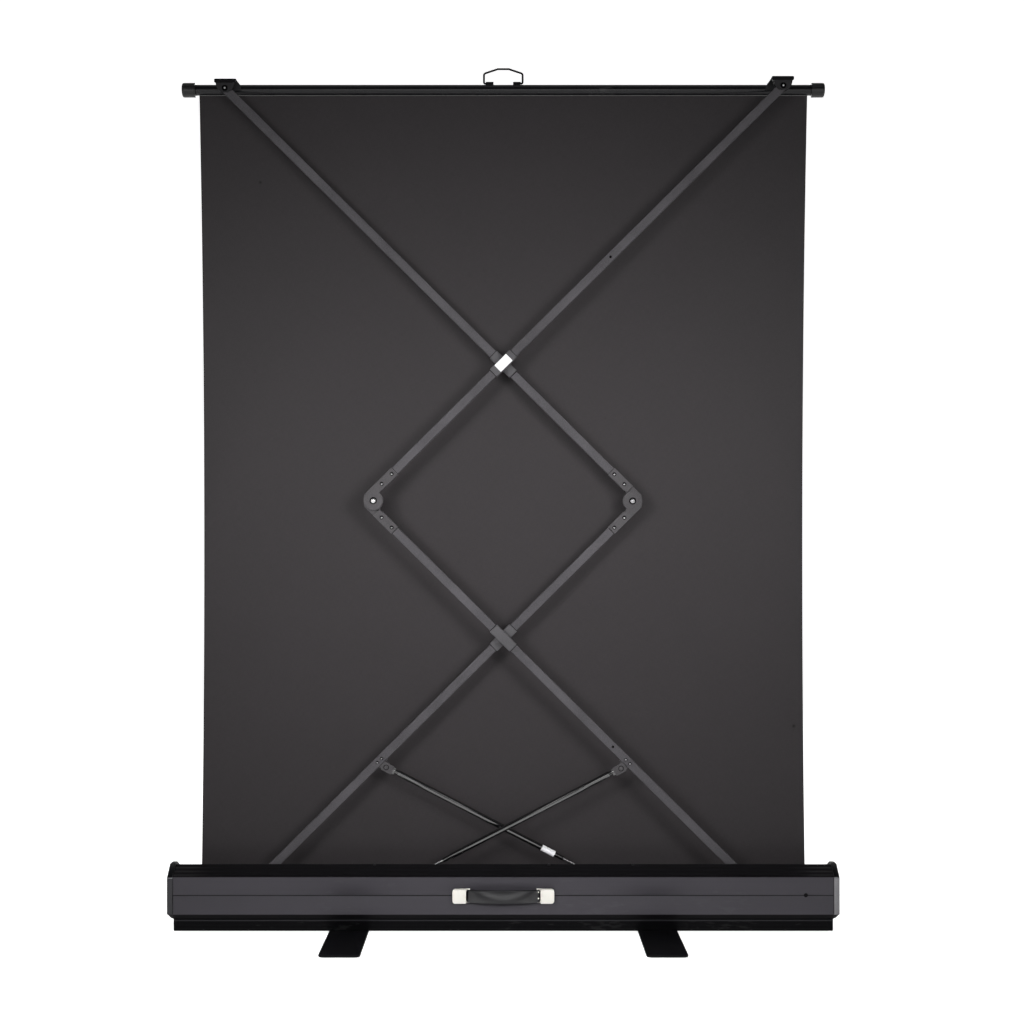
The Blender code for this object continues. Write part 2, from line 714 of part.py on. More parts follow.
def end_cap(side, case):
    """Moulded end cap: its lower edge rounds in towards the case and its outer face is domed."""
    stations = ((0.0, 0.0), (0.30, 0.0), (0.62, 0.0), (0.84, 0.0006), (0.95, 0.0016), (1.0, 0.0032))
    depth = CAP_OUT - CASE_HALF - GAP
    bm = bmesh.new()
    loops = []
    for share, inset in stations:
        x = side * (CASE_HALF + GAP + share * depth)
        low_z = RAIL_HIGH_Z + 0.0012 + 0.0125 * (1 - (1 - min(share, 0.98) ** 2) ** 0.5)
        corners = [bm.verts.new((x, y, z)) for y, z in cap_section(inset, low_z)]
        loops.append(corners)
    for first, second in zip(loops, loops[1:]):
        count = len(first)
        for i in range(count):
            j = (i + 1) % count
            bm.faces.new((first[i], first[j], second[j], second[i]))
    bm.faces.new(loops[0])
    bm.faces.new(loops[-1])
    name = "end_cap_left" if side < 0 else "end_cap_right"
    piece(name, bm, case, CAP_PLASTIC)


def roller(body):
    """Roller tube with its last turns of cloth, two ends and the torsion spring on its arbor."""
    inner = ROLLER_R - ROLLER_WALL
    centre = (0, ROLLER_Y, ROLLER_Z)
    tube = [
        (inner, -ROLLER_HALF),
        (ROLLER_R, -ROLLER_HALF),
        (ROLLER_R, ROLLER_HALF),
        (inner, ROLLER_HALF),
    ]
    piece("roller_tube", turned(tube, centre, (1, 0, 0), ROUND_STEPS), body, RAW_ALUMINIUM)
    outside, inside = [], []
    steps = WRAP_TURNS * ROUND_STEPS
    for i in range(steps + 1):
        angle = 2 * pi * i / ROUND_STEPS
        radius = ROLLER_R + GAP + WRAP_PITCH * i / ROUND_STEPS
        for ring, at in ((inside, radius), (outside, radius + FABRIC_THICK)):
            ring.append((ROLLER_Y + at * cos(angle), ROLLER_Z + at * sin(angle)))
    wound = prism(outside + inside[::-1], "X", -FABRIC_WIDTH / 2, FABRIC_WIDTH / 2)
    piece("fabric_on_roller", wound, body, CLOTH_BLACK)
    print(f"wound cloth: least gap between turns {1000 * (WRAP_PITCH - FABRIC_THICK):.2f} mm")
    plug = inner - GAP
    shared = [
        (plug, ROLLER_HALF - 0.022),
        (plug, ROLLER_HALF + GAP),
        (ROLLER_R, ROLLER_HALF + GAP),
        (ROLLER_R, ROLLER_HALF + 0.0026),
        (0.0030, ROLLER_HALF + 0.0026),
        (0.0030, ROLLER_HALF + 0.0130),
        (0, ROLLER_HALF + 0.0130),
    ]
    pin_end = [(0, ROLLER_HALF - 0.022)] + shared
    arbor = [(0, 0.440), (0.0060, 0.440), (0.0060, ROLLER_HALF - 0.022)] + shared
    piece("roller_pin_end", turned(pin_end, centre, (-1, 0, 0)), body, SLEEVE_PLASTIC)
    piece("roller_spring_end", turned(arbor, centre, (1, 0, 0)), body, SLEEVE_PLASTIC)
    coil_spring("roller_spring", centre, body)


def coil_spring(name, centre, body):
    """Round wire helix, ten points to a turn."""
    curve = bpy.data.curves.new(name, "CURVE")
    curve.dimensions = "3D"
    curve.bevel_depth = SPRING_WIRE_R
    curve.bevel_resolution = 1
    curve.use_fill_caps = True
    path = curve.splines.new("POLY")
    count = SPRING_TURNS * 10
    path.points.add(count)
    points = []
    for i in range(count + 1):
        angle = 2 * pi * i / 10
        x = SPRING_FROM_X + (SPRING_TO_X - SPRING_FROM_X) * i / count
        points.append(Vector((x, SPRING_COIL_R * cos(angle), SPRING_COIL_R * sin(angle))))
        path.points[i].co = (*points[-1], 1)
    apart = min(
        (points[i] - points[j]).length for i in range(count) for j in range(i + 6, min(i + 15, count))
    )
    print(f"{name}: least gap between curls {1000 * (apart - 2 * SPRING_WIRE_R):.1f} mm")
    made = bpy.data.objects.new(name, curve)
    bpy.context.scene.collection.objects.link(made)
    made.parent = body
    made.location = (0, centre[1] - body.location.y, centre[2] - body.location.z)
    curve.materials.append(ZINC)


def roller_bracket(side, case):
    """Angle plate that carries one end of the roller."""
    x_in = ROLLER_HALF + 0.0070
    x_out = x_in + 0.0024
    floor = CASE_FLOOR_Z + WALL + GAP
    outline = [(ROLLER_Y - 0.014, floor), (ROLLER_Y + 0.014, floor)]
    outline += arc((ROLLER_Y, ROLLER_Z), 0.0140, 0, 180, 14)
    low, high = sorted((side * x_in, side * x_out))
    name = "roller_bracket_left" if side < 0 else "roller_bracket_right"
    made = piece(name, prism(outline, "X", low, high), case, ZINC)
    far, near = sorted((side * x_in, side * (x_in + 0.016)))
    foot = block((far, near), (ROLLER_Y - 0.014, ROLLER_Y + 0.014), (floor, floor + 0.0024))
    join(made, foot, "foot")
    bore = rod_along(0.0034, (side * x_in, ROLLER_Y, ROLLER_Z), (1, 0, 0), -0.01, 0.01)
    cut(made, bore, "bore")


def screen_fabric(case):
    """Stretched screen cloth from the roller's audience side up to the tube, waisted at mid height."""
    low_y = ROLLER_Y + ROLLER_R + GAP + WRAP_PITCH * WRAP_TURNS + FABRIC_THICK / 2
    top_z = TUBE_Z - TUBE_R - GAP
    bm = bmesh.new()
    rows = []
    for i in range(FABRIC_STEPS + 1):
        share = i / FABRIC_STEPS
        half = FABRIC_WIDTH / 2 - FABRIC_WAIST * 4 * share * (1 - share)
        y = low_y + (TUBE_Y - low_y) * share
        z = FABRIC_LOW_Z + (top_z - FABRIC_LOW_Z) * share
        row = []
        for x, depth in ((-half, -1), (half, -1), (half, 1), (-half, 1)):
            row.append(bm.verts.new((x, y + depth * FABRIC_THICK / 2, z)))
        rows.append(row)
    for first, second in zip(rows, rows[1:]):
        for i in range(4):
            j = (i + 1) % 4
            bm.faces.new((first[i], first[j], second[j], second[i]))
    bm.faces.new(rows[0])
    bm.faces.new(rows[-1])
    piece("screen_fabric", bm, case, CLOTH_BLACK)


def top_tube(bar):
    """Round tube across the top with a cup cap on each end."""
    centre = (0, TUBE_Y, TUBE_Z)
    inner = TUBE_R - TUBE_WALL
    tube = [(inner, -TUBE_HALF), (TUBE_R, -TUBE_HALF), (TUBE_R, TUBE_HALF), (inner, TUBE_HALF)]
    piece("top_tube", turned(tube, centre, (1, 0, 0), ROUND_STEPS), bar, TUBE_PAINT)
    cap = [
        (TUBE_R + GAP, TUBE_CAP_IN),
        (TUBE_CAP_R - 0.0012, TUBE_CAP_IN),
        (TUBE_CAP_R, TUBE_CAP_IN + 0.0012),
        (TUBE_CAP_R, TUBE_CAP_OUT - 0.0060),
        (TUBE_CAP_R - 0.0012, TUBE_CAP_OUT - 0.0022),
        (TUBE_CAP_R - 0.0034, TUBE_CAP_OUT - 0.0006),
        (TUBE_CAP_R - 0.0065, TUBE_CAP_OUT),
        (0.0001, TUBE_CAP_OUT),
        (0.0001, TUBE_HALF + 0.0010),
        (TUBE_R + GAP, TUBE_HALF + 0.0010),
    ]
    solid_cap = [(0, TUBE_CAP_OUT) if r < 0.001 and z > TUBE_HALF + 0.005 else (r, z) for r, z in cap]
    ordered = [(0, TUBE_HALF + 0.0010), (TUBE_R + GAP, TUBE_HALF + 0.0010)] + solid_cap[:8]
    for side, name in ((-1, "tube_cap_left"), (1, "tube_cap_right")):
        piece(name, turned(ordered, centre, (side, 0, 0), ROUND_STEPS), bar, CAP_PLASTIC)


def top_bracket(member, bar):
    """Bracket at the top of an upper arm: a forked lobe round the arm's end, a flange over the
    tube and a lip down each side of it."""
    out = -1 if member.side == "left" else 1
    x = out * PIVOT_HALF
    z = TOP_PIVOT_Z
    middle = member.depth
    under = FLANGE_TOP - FLANGE_THICK
    lobe = [(FLANGE_OUT, FLANGE_TOP - 0.0004), (FLANGE_OUT, FLANGE_TOP - 0.0030)]
    lobe += arc((0, LOBE_UP), LOBE_R, 0, -180, 18)
    lobe += [(-FLANGE_OUT, FLANGE_TOP - 0.0030), (-FLANGE_OUT, FLANGE_TOP - 0.0004)]
    outline = [(x + out * along, z + up) for along, up in lobe]
    fork = prism(outline, "Y", middle - LAYER_HALF, middle + LAYER_HALF)
    made = piece(f"top_bracket_{member.side}", fork, bar, ELBOW_PAINT)
    slot = block(
        (x - 0.05, x + 0.05), (middle - CLEVIS_HALF, middle + CLEVIS_HALF), (z - 0.03, z + 0.0105)
    )
    cut(made, slot, "slot")
    soften(made, 0.0006, 1, 50)
    low, high = sorted((x - out * FLANGE_IN, x + out * FLANGE_OUT))
    reach = (middle - LAYER_HALF - FLANGE_PROUD, TUBE_Y + TUBE_R + 0.0038)
    flange = block((low, high), reach, (z + under, z + FLANGE_TOP))
    join(made, flange, "flange")
    for label, y in (
        ("rear_lip", TUBE_Y - TUBE_R - 0.0008 - LIP_THICK),
        ("front_lip", TUBE_Y + TUBE_R + 0.0008),
    ):
        lip = [
            (x + out * 0.0120, z + FLANGE_TOP - 0.0005),
            (x + out * 0.0070, z + 0.0010),
            (x - out * (FLANGE_IN + 0.0062), z + 0.0010),
            (x - out * (FLANGE_IN + 0.0058), z + 0.0085),
            (x - out * (FLANGE_IN + 0.0036), z + 0.0140),
            (x - out * (FLANGE_IN - 0.0003), z + FLANGE_TOP - 0.0005),
        ]
        join(made, prism(lip, "Y", y, y + LIP_THICK), label)
    bore = rod_along(LUG_HOLE_R, (x, middle, z), (0, 1, 0), -0.0075, 0.0075)
    cut(made, bore, "bore")
    pivot_pin(f"top_pin_{member.side}", x, middle, z, bar, ZINC)


def bail(body, bar):
    """Wire bail with six bends, its two ends turned in through clips on the tube."""
    curve = bpy.data.curves.new("bail_handle", "CURVE")
    curve.dimensions = "3D"
    curve.bevel_depth = BAIL_WIRE_R
    curve.bevel_resolution = 2
    curve.use_fill_caps = True
    half = [
        (0.0220, 0),
        (0.0378, 0),
        (0.0397, 0.0008),
        (BAIL_HALF, 0.0030),
        (BAIL_HALF, BAIL_SHOULDER - 0.0020),
        (BAIL_HALF - 0.0006, BAIL_SHOULDER),
        (BAIL_HALF - 0.0028, BAIL_SHOULDER + 0.0018),
        (BAIL_TOP_HALF + 0.0030, BAIL_TOP - 0.0012),
        (BAIL_TOP_HALF, BAIL_TOP),
    ]
    points = [(-x, z) for x, z in half] + [(x, z) for x, z in reversed(half)]
    path = curve.splines.new("POLY")
    path.points.add(len(points) - 1)
    for i, (x, z) in enumerate(points):
        path.points[i].co = (x, 0, z, 1)
    made = bpy.data.objects.new("bail_handle", curve)
    bpy.context.scene.collection.objects.link(made)
    made.parent = body
    curve.materials.append(WIRE_STEEL)
    for side, name in ((-1, "bail_clip_left"), (1, "bail_clip_right")):
        saddle = TUBE_R + GAP
        outline = arc((TUBE_Y, TUBE_Z), saddle, 62, 118, 8)
        outline += [(TUBE_Y - 0.0048, BAIL_AXIS_Z + 0.0014), (TUBE_Y - 0.0028, BAIL_AXIS_Z + 0.0032)]
        outline += [(TUBE_Y + 0.0028, BAIL_AXIS_Z + 0.0032), (TUBE_Y + 0.0048, BAIL_AXIS_Z + 0.0014)]
        low, high = sorted((side * CLIP_IN, side * CLIP_OUT))
        clip = piece(name, prism(outline, "X", low, high), bar, CAP_PLASTIC)
        bore = rod_along(
            BAIL_WIRE_R + GAP, (side * CLIP_IN, TUBE_Y, BAIL_AXIS_Z), (side, 0, 0), -0.01, 0.03
        )
        cut(clip, bore, "bore")


def handle_clip(side, case):
    """Pale moulded clip on the rear face: a base plate, and a hood open towards the grip."""
    face = REAR_Y - GAP
    low, high = HANDLE_Z - CLIP_HALF_Z, HANDLE_Z + CLIP_HALF_Z
    corner = 0.0060
    outline = [(side * CLIP_INNER_X, low)]
    right = arc((CLIP_OUTER_X - corner, low + corner), corner, -90, 0, 5)
    right += arc((CLIP_OUTER_X - corner, high - corner), corner, 0, 90, 5)
    outline += [(side * x, z) for x, z in right]
    outline.append((side * CLIP_INNER_X, high))
    name = "handle_clip_left" if side < 0 else "handle_clip_right"
    made = piece(name, prism(outline, "Y", face - CLIP_PROUD, face), case, CLIP_PLASTIC)
    soften(made, 0.0014, 2, 50)
    near, far = sorted((side * CLIP_PLATE_X, side * (CLIP_INNER_X + 0.002)))
    plate = block((near, far), (face - CLIP_PLATE, face), (low, high))
    join(made, plate, "plate")
    near, far = sorted((side * (CLIP_INNER_X - 0.01), side * (TONGUE_END_X + 0.0050)))
    slot = block(
        (near, far), (face - CLIP_PROUD + 0.0018, face - CLIP_PLATE), (low + 0.0030, high - 0.0030)
    )
    cut(made, slot, "slot")


def carry_grip(body):
    """Flexible strap grip that bows away from the rear face, with a thin tongue at each end."""
    face = REAR_Y - GAP
    end_y = face - CLIP_PLATE - 0.0008
    count = 12
    near, far = [], []
    for i in range(count + 1):
        x = -GRIP_HALF_X + 2 * GRIP_HALF_X * i / count
        bow = GRIP_BOW * (1 - (x / GRIP_HALF_X) ** 4)
        near.append((x, end_y - bow))
        far.append((x, end_y - bow - GRIP_THICK))
    strap = prism(near + far[::-1], "Z", HANDLE_Z - GRIP_HALF_Z, HANDLE_Z + GRIP_HALF_Z)
    made = piece("carry_grip", strap, body, GRIP_RUBBER)
    soften(made, 0.0014, 2, 50)
    tongue = block(
        (-TONGUE_END_X, TONGUE_END_X),
        (end_y - 0.0026, end_y),
        (HANDLE_Z - 0.0095, HANDLE_Z + 0.0095),
    )
    middle = block((-0.060, 0.060), (end_y - 0.004, end_y + 0.002), (0.05, 0.12))
    join(made, tongue, "tongue")
    cut(made, middle, "finger_gap")


def foot(side, body, case):
    """Flat steel foot that swivels on one bolt, with a rubber pad under each end."""
    x = side * FOOT_X
    label = "left" if side < 0 else "right"
    outline = rounded_box(FOOT_HALF_X, FOOT_HALF_Y, FOOT_CORNER, (x, 0))
    made = piece(f"foot_{label}", prism(outline, "Z", FOOT_LOW_Z, FOOT_HIGH_Z), body, FOOT_PAINT)
    soften(made, 0.0012, 2)
    cut(made, rod_along(FOOT_HOLE_R, (x, 0, 0), (0, 0, 1), -0.001, 0.01), "bolt_hole")
    cut(made, rod_along(0.0125, (x, 0, 0), (0, 0, 1), -0.001, 0.0042, 24), "head_recess")
    for end, place in ((-1, "rear"), (1, "front")):
        pad = rounded_box(0.030, 0.014, 0.004, (x, end * PAD_Y))
        piece(f"foot_pad_{label}_{place}", prism(pad, "Z", 0, PAD_THICK), body, RUBBER)
    bolt = [
        (0, 0.0018),
        (0.0115, 0.0018),
        (0.0115, 0.0036),
        (FOOT_BOLT_R, 0.0038),
        (FOOT_BOLT_R, CASE_FLOOR_Z + WALL + GAP),
        (0.0085, CASE_FLOOR_Z + WALL + GAP),
        (0.0085, CASE_FLOOR_Z + WALL + 0.0048),
        (FOOT_BOLT_R, CASE_FLOOR_Z + WALL + 0.0052),
        (0, CASE_FLOOR_Z + WALL + 0.0056),
    ]
    piece(f"foot_pivot_{label}", turned(bolt, (x, 0, 0), (0, 0, 1)), case, ZINC)


for old in list(bpy.data.objects):
    bpy.data.objects.remove(old, do_unlink=True)

CASE_PAINT = finish("case_paint", (0.060, 0.059, 0.062), 0.42, 0.3)
RAIL_PAINT = finish("rail_paint", (0.010, 0.010, 0.011), 0.40, 0.2)
CAP_PLASTIC = finish("cap_plastic", (0.020, 0.020, 0.021), 0.45)
ARM_PAINT = finish("arm_paint", (0.075, 0.074, 0.077), 0.48, 0.2)
ELBOW_PAINT = finish("elbow_paint", (0.085, 0.084, 0.087), 0.45, 0.2)
SLEEVE_PLASTIC = finish("sleeve_plastic", (0.045, 0.044, 0.046), 0.5)
TUBE_PAINT = finish("tube_paint", (0.030, 0.030, 0.032), 0.3, 0.2)
GLOSS_BLACK = finish("gloss_black", (0.012, 0.012, 0.013), 0.15)
ROD_STEEL = finish("rod_steel", (0.55, 0.55, 0.56), 0.25, 1.0)
WIRE_STEEL = finish("wire_steel", (0.020, 0.020, 0.021), 0.35, 0.5)
ZINC = finish("zinc", (0.60, 0.60, 0.61), 0.35, 1.0)
RAW_ALUMINIUM = finish("raw_aluminium", (0.70, 0.70, 0.71), 0.35, 1.0)
CLOTH_BLACK = finish("cloth_black", (0.024, 0.023, 0.024), 0.85)
CLIP_PLASTIC = finish("clip_plastic", (0.80, 0.79, 0.74), 0.4)
GRIP_RUBBER = finish("grip_rubber", (0.018, 0.018, 0.020), 0.3)
FOOT_PAINT = finish("foot_paint", (0.012, 0.012, 0.013), 0.4, 0.2)
RUBBER = finish("rubber", (0.015, 0.015, 0.015), 0.8)

CASE = joint_empty("case_frame", 0, 0, 0)
ROLLER = joint_empty("roller_spin_axis", 0, ROLLER_Y, ROLLER_Z)

case_channel(CASE)
base_rail(CASE)
for case_end in (-1, 1):
    end_cap(case_end, CASE)
    roller_bracket(case_end, CASE)
    handle_clip(case_end, CASE)
    foot(case_end, joint_empty(f"foot_swivel_{case_end}", case_end * FOOT_X, 0, 0), CASE)
roller(ROLLER)
screen_fabric(CASE)

MEMBERS = [Member(side, level) for level in ("lower", "upper") for side in ("left", "right")]
for frame_member in MEMBERS:
    arm(frame_member)
    elbow_fitting(frame_member)
    sleeve(frame_member)

for lower in MEMBERS[:2]:
    base_hinge(lower, CASE)
    spring_lug(lower)
    elbow_x = ELBOW_X if lower.side == "left" else -ELBOW_X
    pivot_pin(f"elbow_pin_{lower.other}", elbow_x, lower.depth, ELBOW_Z, lower.body, ZINC)
    gas = GasSpring(lower)
    gas_cylinder(gas)
    gas_rod(gas)
    spring_anchor(gas, CASE)

TOP_BAR = joint_empty("top_bar_pivot", -PIVOT_HALF, FRONT_LAYER_Y, TOP_PIVOT_Z)
top_tube(TOP_BAR)
for upper_member in MEMBERS[2:]:
    top_bracket(upper_member, TOP_BAR)
bail(joint_empty("bail_pivot", 0, TUBE_Y, BAIL_AXIS_Z), TOP_BAR)
carry_grip(joint_empty("grip_slide", 0, REAR_Y, HANDLE_Z))

print(f"elbow at {ELBOW_X:.4f}, {ELBOW_Z:.4f}; top pivot z {TOP_PIVOT_Z:.4f}")
print(f"gas spring length open {gas.length:.4f}")
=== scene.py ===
"""Looks of a pull up projection screen, seen from behind: a floor case, a two-stage scissor
frame with crossed gas springs, and a black-backed cloth that hangs from a round top tube."""

from math import cos, pi, radians, sin

import bpy
from mathutils import Matrix, Vector


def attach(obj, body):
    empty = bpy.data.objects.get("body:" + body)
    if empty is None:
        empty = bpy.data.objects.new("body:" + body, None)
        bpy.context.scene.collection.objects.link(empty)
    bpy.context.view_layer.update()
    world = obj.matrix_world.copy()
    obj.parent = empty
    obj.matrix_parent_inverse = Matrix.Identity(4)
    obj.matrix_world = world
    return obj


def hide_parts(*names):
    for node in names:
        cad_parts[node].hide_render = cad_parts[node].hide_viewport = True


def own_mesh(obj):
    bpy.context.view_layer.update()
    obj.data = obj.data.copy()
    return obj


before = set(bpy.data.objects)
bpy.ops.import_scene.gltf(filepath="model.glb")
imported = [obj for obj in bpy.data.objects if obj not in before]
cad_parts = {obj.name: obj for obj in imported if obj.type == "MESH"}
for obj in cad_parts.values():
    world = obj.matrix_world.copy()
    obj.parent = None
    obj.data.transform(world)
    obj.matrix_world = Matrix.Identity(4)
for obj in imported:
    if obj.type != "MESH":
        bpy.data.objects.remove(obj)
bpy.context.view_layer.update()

# Studio: a pale floor that curves up into a backdrop, a large soft lamp over the camera, two at
# each side, one above and one in front of the screen. The camera stands behind it, a little below
# half its height, and its frame is shifted up, not tilted, so that upright edges stay upright.
scene = bpy.context.scene
scene.view_settings.view_transform = "Standard"

camera_data = bpy.data.cameras.new("camera")
camera_data.sensor_width = 36
camera_data.lens = 55.9
camera_data.shift_x = 0.0085
camera_data.shift_y = 0.0414
camera = bpy.data.objects.new("camera", camera_data)
camera.location = (0, -3.30, 0.776)
camera.rotation_euler = (radians(90), 0, 0)
scene.collection.objects.link(camera)
scene.camera = camera


def fresh(add, **size):
    """A new primitive, which is the only selected piece and the active one."""
    bpy.ops.object.select_all(action="DESELECT")
    add(**size)
    return bpy.context.object


def only(piece):
    """Deselect everything and make one piece the selected and active one."""
    if bpy.context.object and bpy.context.object.mode != "OBJECT":
        bpy.ops.object.mode_set(mode="OBJECT")
    bpy.ops.object.select_all(action="DESELECT")
    piece.select_set(True)
    bpy.context.view_layer.objects.active = piece


def pick_edges(piece, wanted):
    """Open a piece in edit mode with the edges selected that a test on their ends picks."""
    only(piece)
    bpy.ops.object.mode_set(mode="EDIT")
    bpy.ops.mesh.select_mode(type="EDGE")
    bpy.ops.mesh.select_all(action="DESELECT")
    bpy.ops.object.mode_set(mode="OBJECT")
    for edge in piece.data.edges:
        edge.select = wanted(*(piece.data.vertices[i].co for i in edge.vertices))
    bpy.ops.object.mode_set(mode="EDIT")


studio_sweep = fresh(bpy.ops.mesh.primitive_plane_add, size=1)
studio_sweep.name = "studio_sweep"
studio_sweep.scale = (18, 14, 1)
bpy.ops.object.transform_apply()
pick_edges(studio_sweep, lambda first, last: min(first.y, last.y) > 6.9)
bpy.ops.mesh.extrude_region_move(TRANSFORM_OT_translate={"value": (0, 0, 8)})
bpy.ops.object.mode_set(mode="OBJECT")
sweep_bend = studio_sweep.modifiers.new("bend", "BEVEL")
sweep_bend.width = 2.5
sweep_bend.segments = 24
bpy.ops.object.modifier_apply(modifier=sweep_bend.name)
bpy.ops.object.shade_smooth()


def add_math(tree, operation, first, second=0.0):
    """A Math node on two values, each a socket or a number."""
    node = tree.nodes.new("ShaderNodeMath")
    node.operation = operation
    for i, value in enumerate((first, second)):
        if isinstance(value, (int, float)):
            node.inputs[i].default_value = value
        else:
            tree.links.new(value, node.inputs[i])
    return node.outputs[0]


sweep_paint = bpy.data.materials.new("sweep_paint")
sweep_paint.use_nodes = True
sweep_nodes = sweep_paint.node_tree.nodes
sweep_links = sweep_paint.node_tree.links
sweep_shader = sweep_nodes["Principled BSDF"]
sweep_shader.inputs["Base Color"].default_value = (0.86, 0.86, 0.86, 1)
sweep_shader.inputs["Roughness"].default_value = 0.9
sweep_light = sweep_nodes.new("ShaderNodeEmission")
sweep_light.inputs["Strength"].default_value = 0.94
sweep_path = sweep_nodes.new("ShaderNodeLightPath")
sweep_add = sweep_nodes.new("ShaderNodeAddShader")
sweep_mix = sweep_nodes.new("ShaderNodeMixShader")
sweep_links.new(sweep_shader.outputs[0], sweep_add.inputs[0])
sweep_links.new(sweep_light.outputs[0], sweep_add.inputs[1])
sweep_seen = sweep_path.outputs["Is Camera Ray"]
for ray in ("Is Glossy Ray", "Is Transmission Ray"):
    sweep_seen = add_math(sweep_paint.node_tree, "MAXIMUM", sweep_seen, sweep_path.outputs[ray])
sweep_links.new(sweep_seen, sweep_mix.inputs["Fac"])
sweep_links.new(sweep_shader.outputs[0], sweep_mix.inputs[1])
sweep_links.new(sweep_add.outputs[0], sweep_mix.inputs[2])
sweep_links.new(sweep_mix.outputs[0], sweep_nodes["Material Output"].inputs["Surface"])
studio_sweep.data.materials.append(sweep_paint)

scene.world = bpy.data.worlds.new("studio_room")
scene.world.use_nodes = True
room_light = scene.world.node_tree.nodes["Background"]
room_light.inputs["Color"].default_value = (0.50, 0.50, 0.50, 1)
room_light.inputs["Strength"].default_value = 0.14


def softbox(name, place, target, width, height, power, spread=180, glossy=True):
    """A rectangular lamp that faces a point, with a honeycomb that narrows its beam."""
    lamp = bpy.data.lights.new(name, "AREA")
    lamp.shape = "RECTANGLE"
    lamp.size = width
    lamp.size_y = height
    lamp.energy = power
    lamp.spread = radians(spread)
    holder = bpy.data.objects.new(name, lamp)
    holder.location = place
    aim = Vector(target) - Vector(place)
    holder.rotation_euler = aim.to_track_quat("-Z", "Y").to_euler()
    holder.visible_glossy = glossy
    scene.collection.objects.link(holder)


softbox("camera_softbox", (0, -3.7, 1.38), (0, 0, 0.92), 2.1, 0.7, 23)
softbox("left_softbox", (-1.2, -2.0, 1.2), (0, 0, 0.78), 0.8, 0.8, 5.5, 60, False)
softbox("right_softbox", (1.2, -2.0, 1.2), (0, 0, 0.78), 0.8, 0.8, 5.5, 60, False)
softbox("left_strip", (-1.4, -2.0, 1.35), (-0.5, 0, 1.2), 0.35, 1.1, 4.2)
softbox("right_strip", (1.4, -2.0, 1.35), (0.5, 0, 1.2), 0.35, 1.1, 4.2)
softbox("overhead_softbox", (0, -0.4, 3.8), (0, 0, 0.9), 2.0, 1.4, 4)
softbox("audience_softbox", (0, 3.4, 2.6), (0, 0, 0.9), 2.4, 1.6, 60)

# Swivel feet: two flat steel bars, laser cut with rounded corners and powder coated black. Each
# turns on one plated bolt under the case, and stands on two small rubber pads.


def effect_group(name, inputs, outputs):
    """An empty shader node group with its sockets, and what comes in by them."""
    group = bpy.data.node_groups.new(name, "ShaderNodeTree")

    def add_socket(label, way):
        kind = "NodeSocketColor" if "Colour" in label else "NodeSocketFloat"
        return group.interface.new_socket(label, in_out=way, socket_type=kind)

    for label, value in inputs.items():
        add_socket(label, "INPUT").default_value = value
    for label in outputs:
        add_socket(label, "OUTPUT")
    return group, group.nodes.new("NodeGroupInput").outputs


def give_out(group, **results):
    """Link a group's results to its end node."""
    ends = group.nodes.new("NodeGroupOutput")
    for label, result in results.items():
        group.links.new(result, ends.inputs[label])


def add_noise(tree, vector, scale, detail, rough=0.5):
    """A noise pattern that reads the given coordinates."""
    node = tree.nodes.new("ShaderNodeTexNoise")
    node.inputs["Detail"].default_value = detail
    node.inputs["Roughness"].default_value = rough
    tree.links.new(vector, node.inputs["Vector"])
    if isinstance(scale, (int, float)):
        node.inputs["Scale"].default_value = scale
    else:
        tree.links.new(scale, node.inputs["Scale"])
    return node.outputs["Fac"]


def scale_colour(tree, colour, factor):
    """A colour made lighter or darker by a value."""
    node = tree.nodes.new("ShaderNodeVectorMath")
    node.operation = "SCALE"
    tree.links.new(colour, node.inputs[0])
    tree.links.new(factor, node.inputs["Scale"])
    return node.outputs[0]


def add_group(tree, group, **values):
    """A node that holds a group, with its values set."""
    node = tree.nodes.new("ShaderNodeGroup")
    node.node_tree = group
    for label, value in values.items():
        node.inputs[label.replace("_", " ")].default_value = value
    return node


# Fine mottled grain of powder coat, moulded plastic or plating, with broad cloudy variation.
surface_grain, grain_in = effect_group(
    "surface_grain",
    {"Colour": (0.1, 0.1, 0.1, 1), "Mottle": 0.10, "Grain Size": 0.0015, "Roughness": 0.45,
     "Roughness Spread": 0.08},
    ("Colour", "Roughness", "Height"),
)
grain_place = surface_grain.nodes.new("ShaderNodeTexCoord")
grain_scale = add_math(surface_grain, "DIVIDE", 1.0, grain_in["Grain Size"])
grain_fine = add_noise(surface_grain, grain_place.outputs["Object"], grain_scale, 3)
grain_broad = add_noise(surface_grain, grain_place.outputs["Object"], 11, 4)
grain_sum = add_math(surface_grain, "ADD", grain_fine, grain_broad)
grain_signed = add_math(surface_grain, "SUBTRACT", grain_sum, 1.0)
grain_share = add_math(surface_grain, "MULTIPLY", grain_signed, grain_in["Mottle"])
grain_factor = add_math(surface_grain, "ADD", grain_share, 1.0)
grain_colour = scale_colour(surface_grain, grain_in["Colour"], grain_factor)
grain_spread = grain_in["Roughness Spread"]
grain_dull = add_math(surface_grain, "MULTIPLY", grain_signed, grain_spread)
grain_rough = add_math(surface_grain, "ADD", grain_dull, grain_in["Roughness"])
give_out(surface_grain, Colour=grain_colour, Roughness=grain_rough, Height=grain_fine)

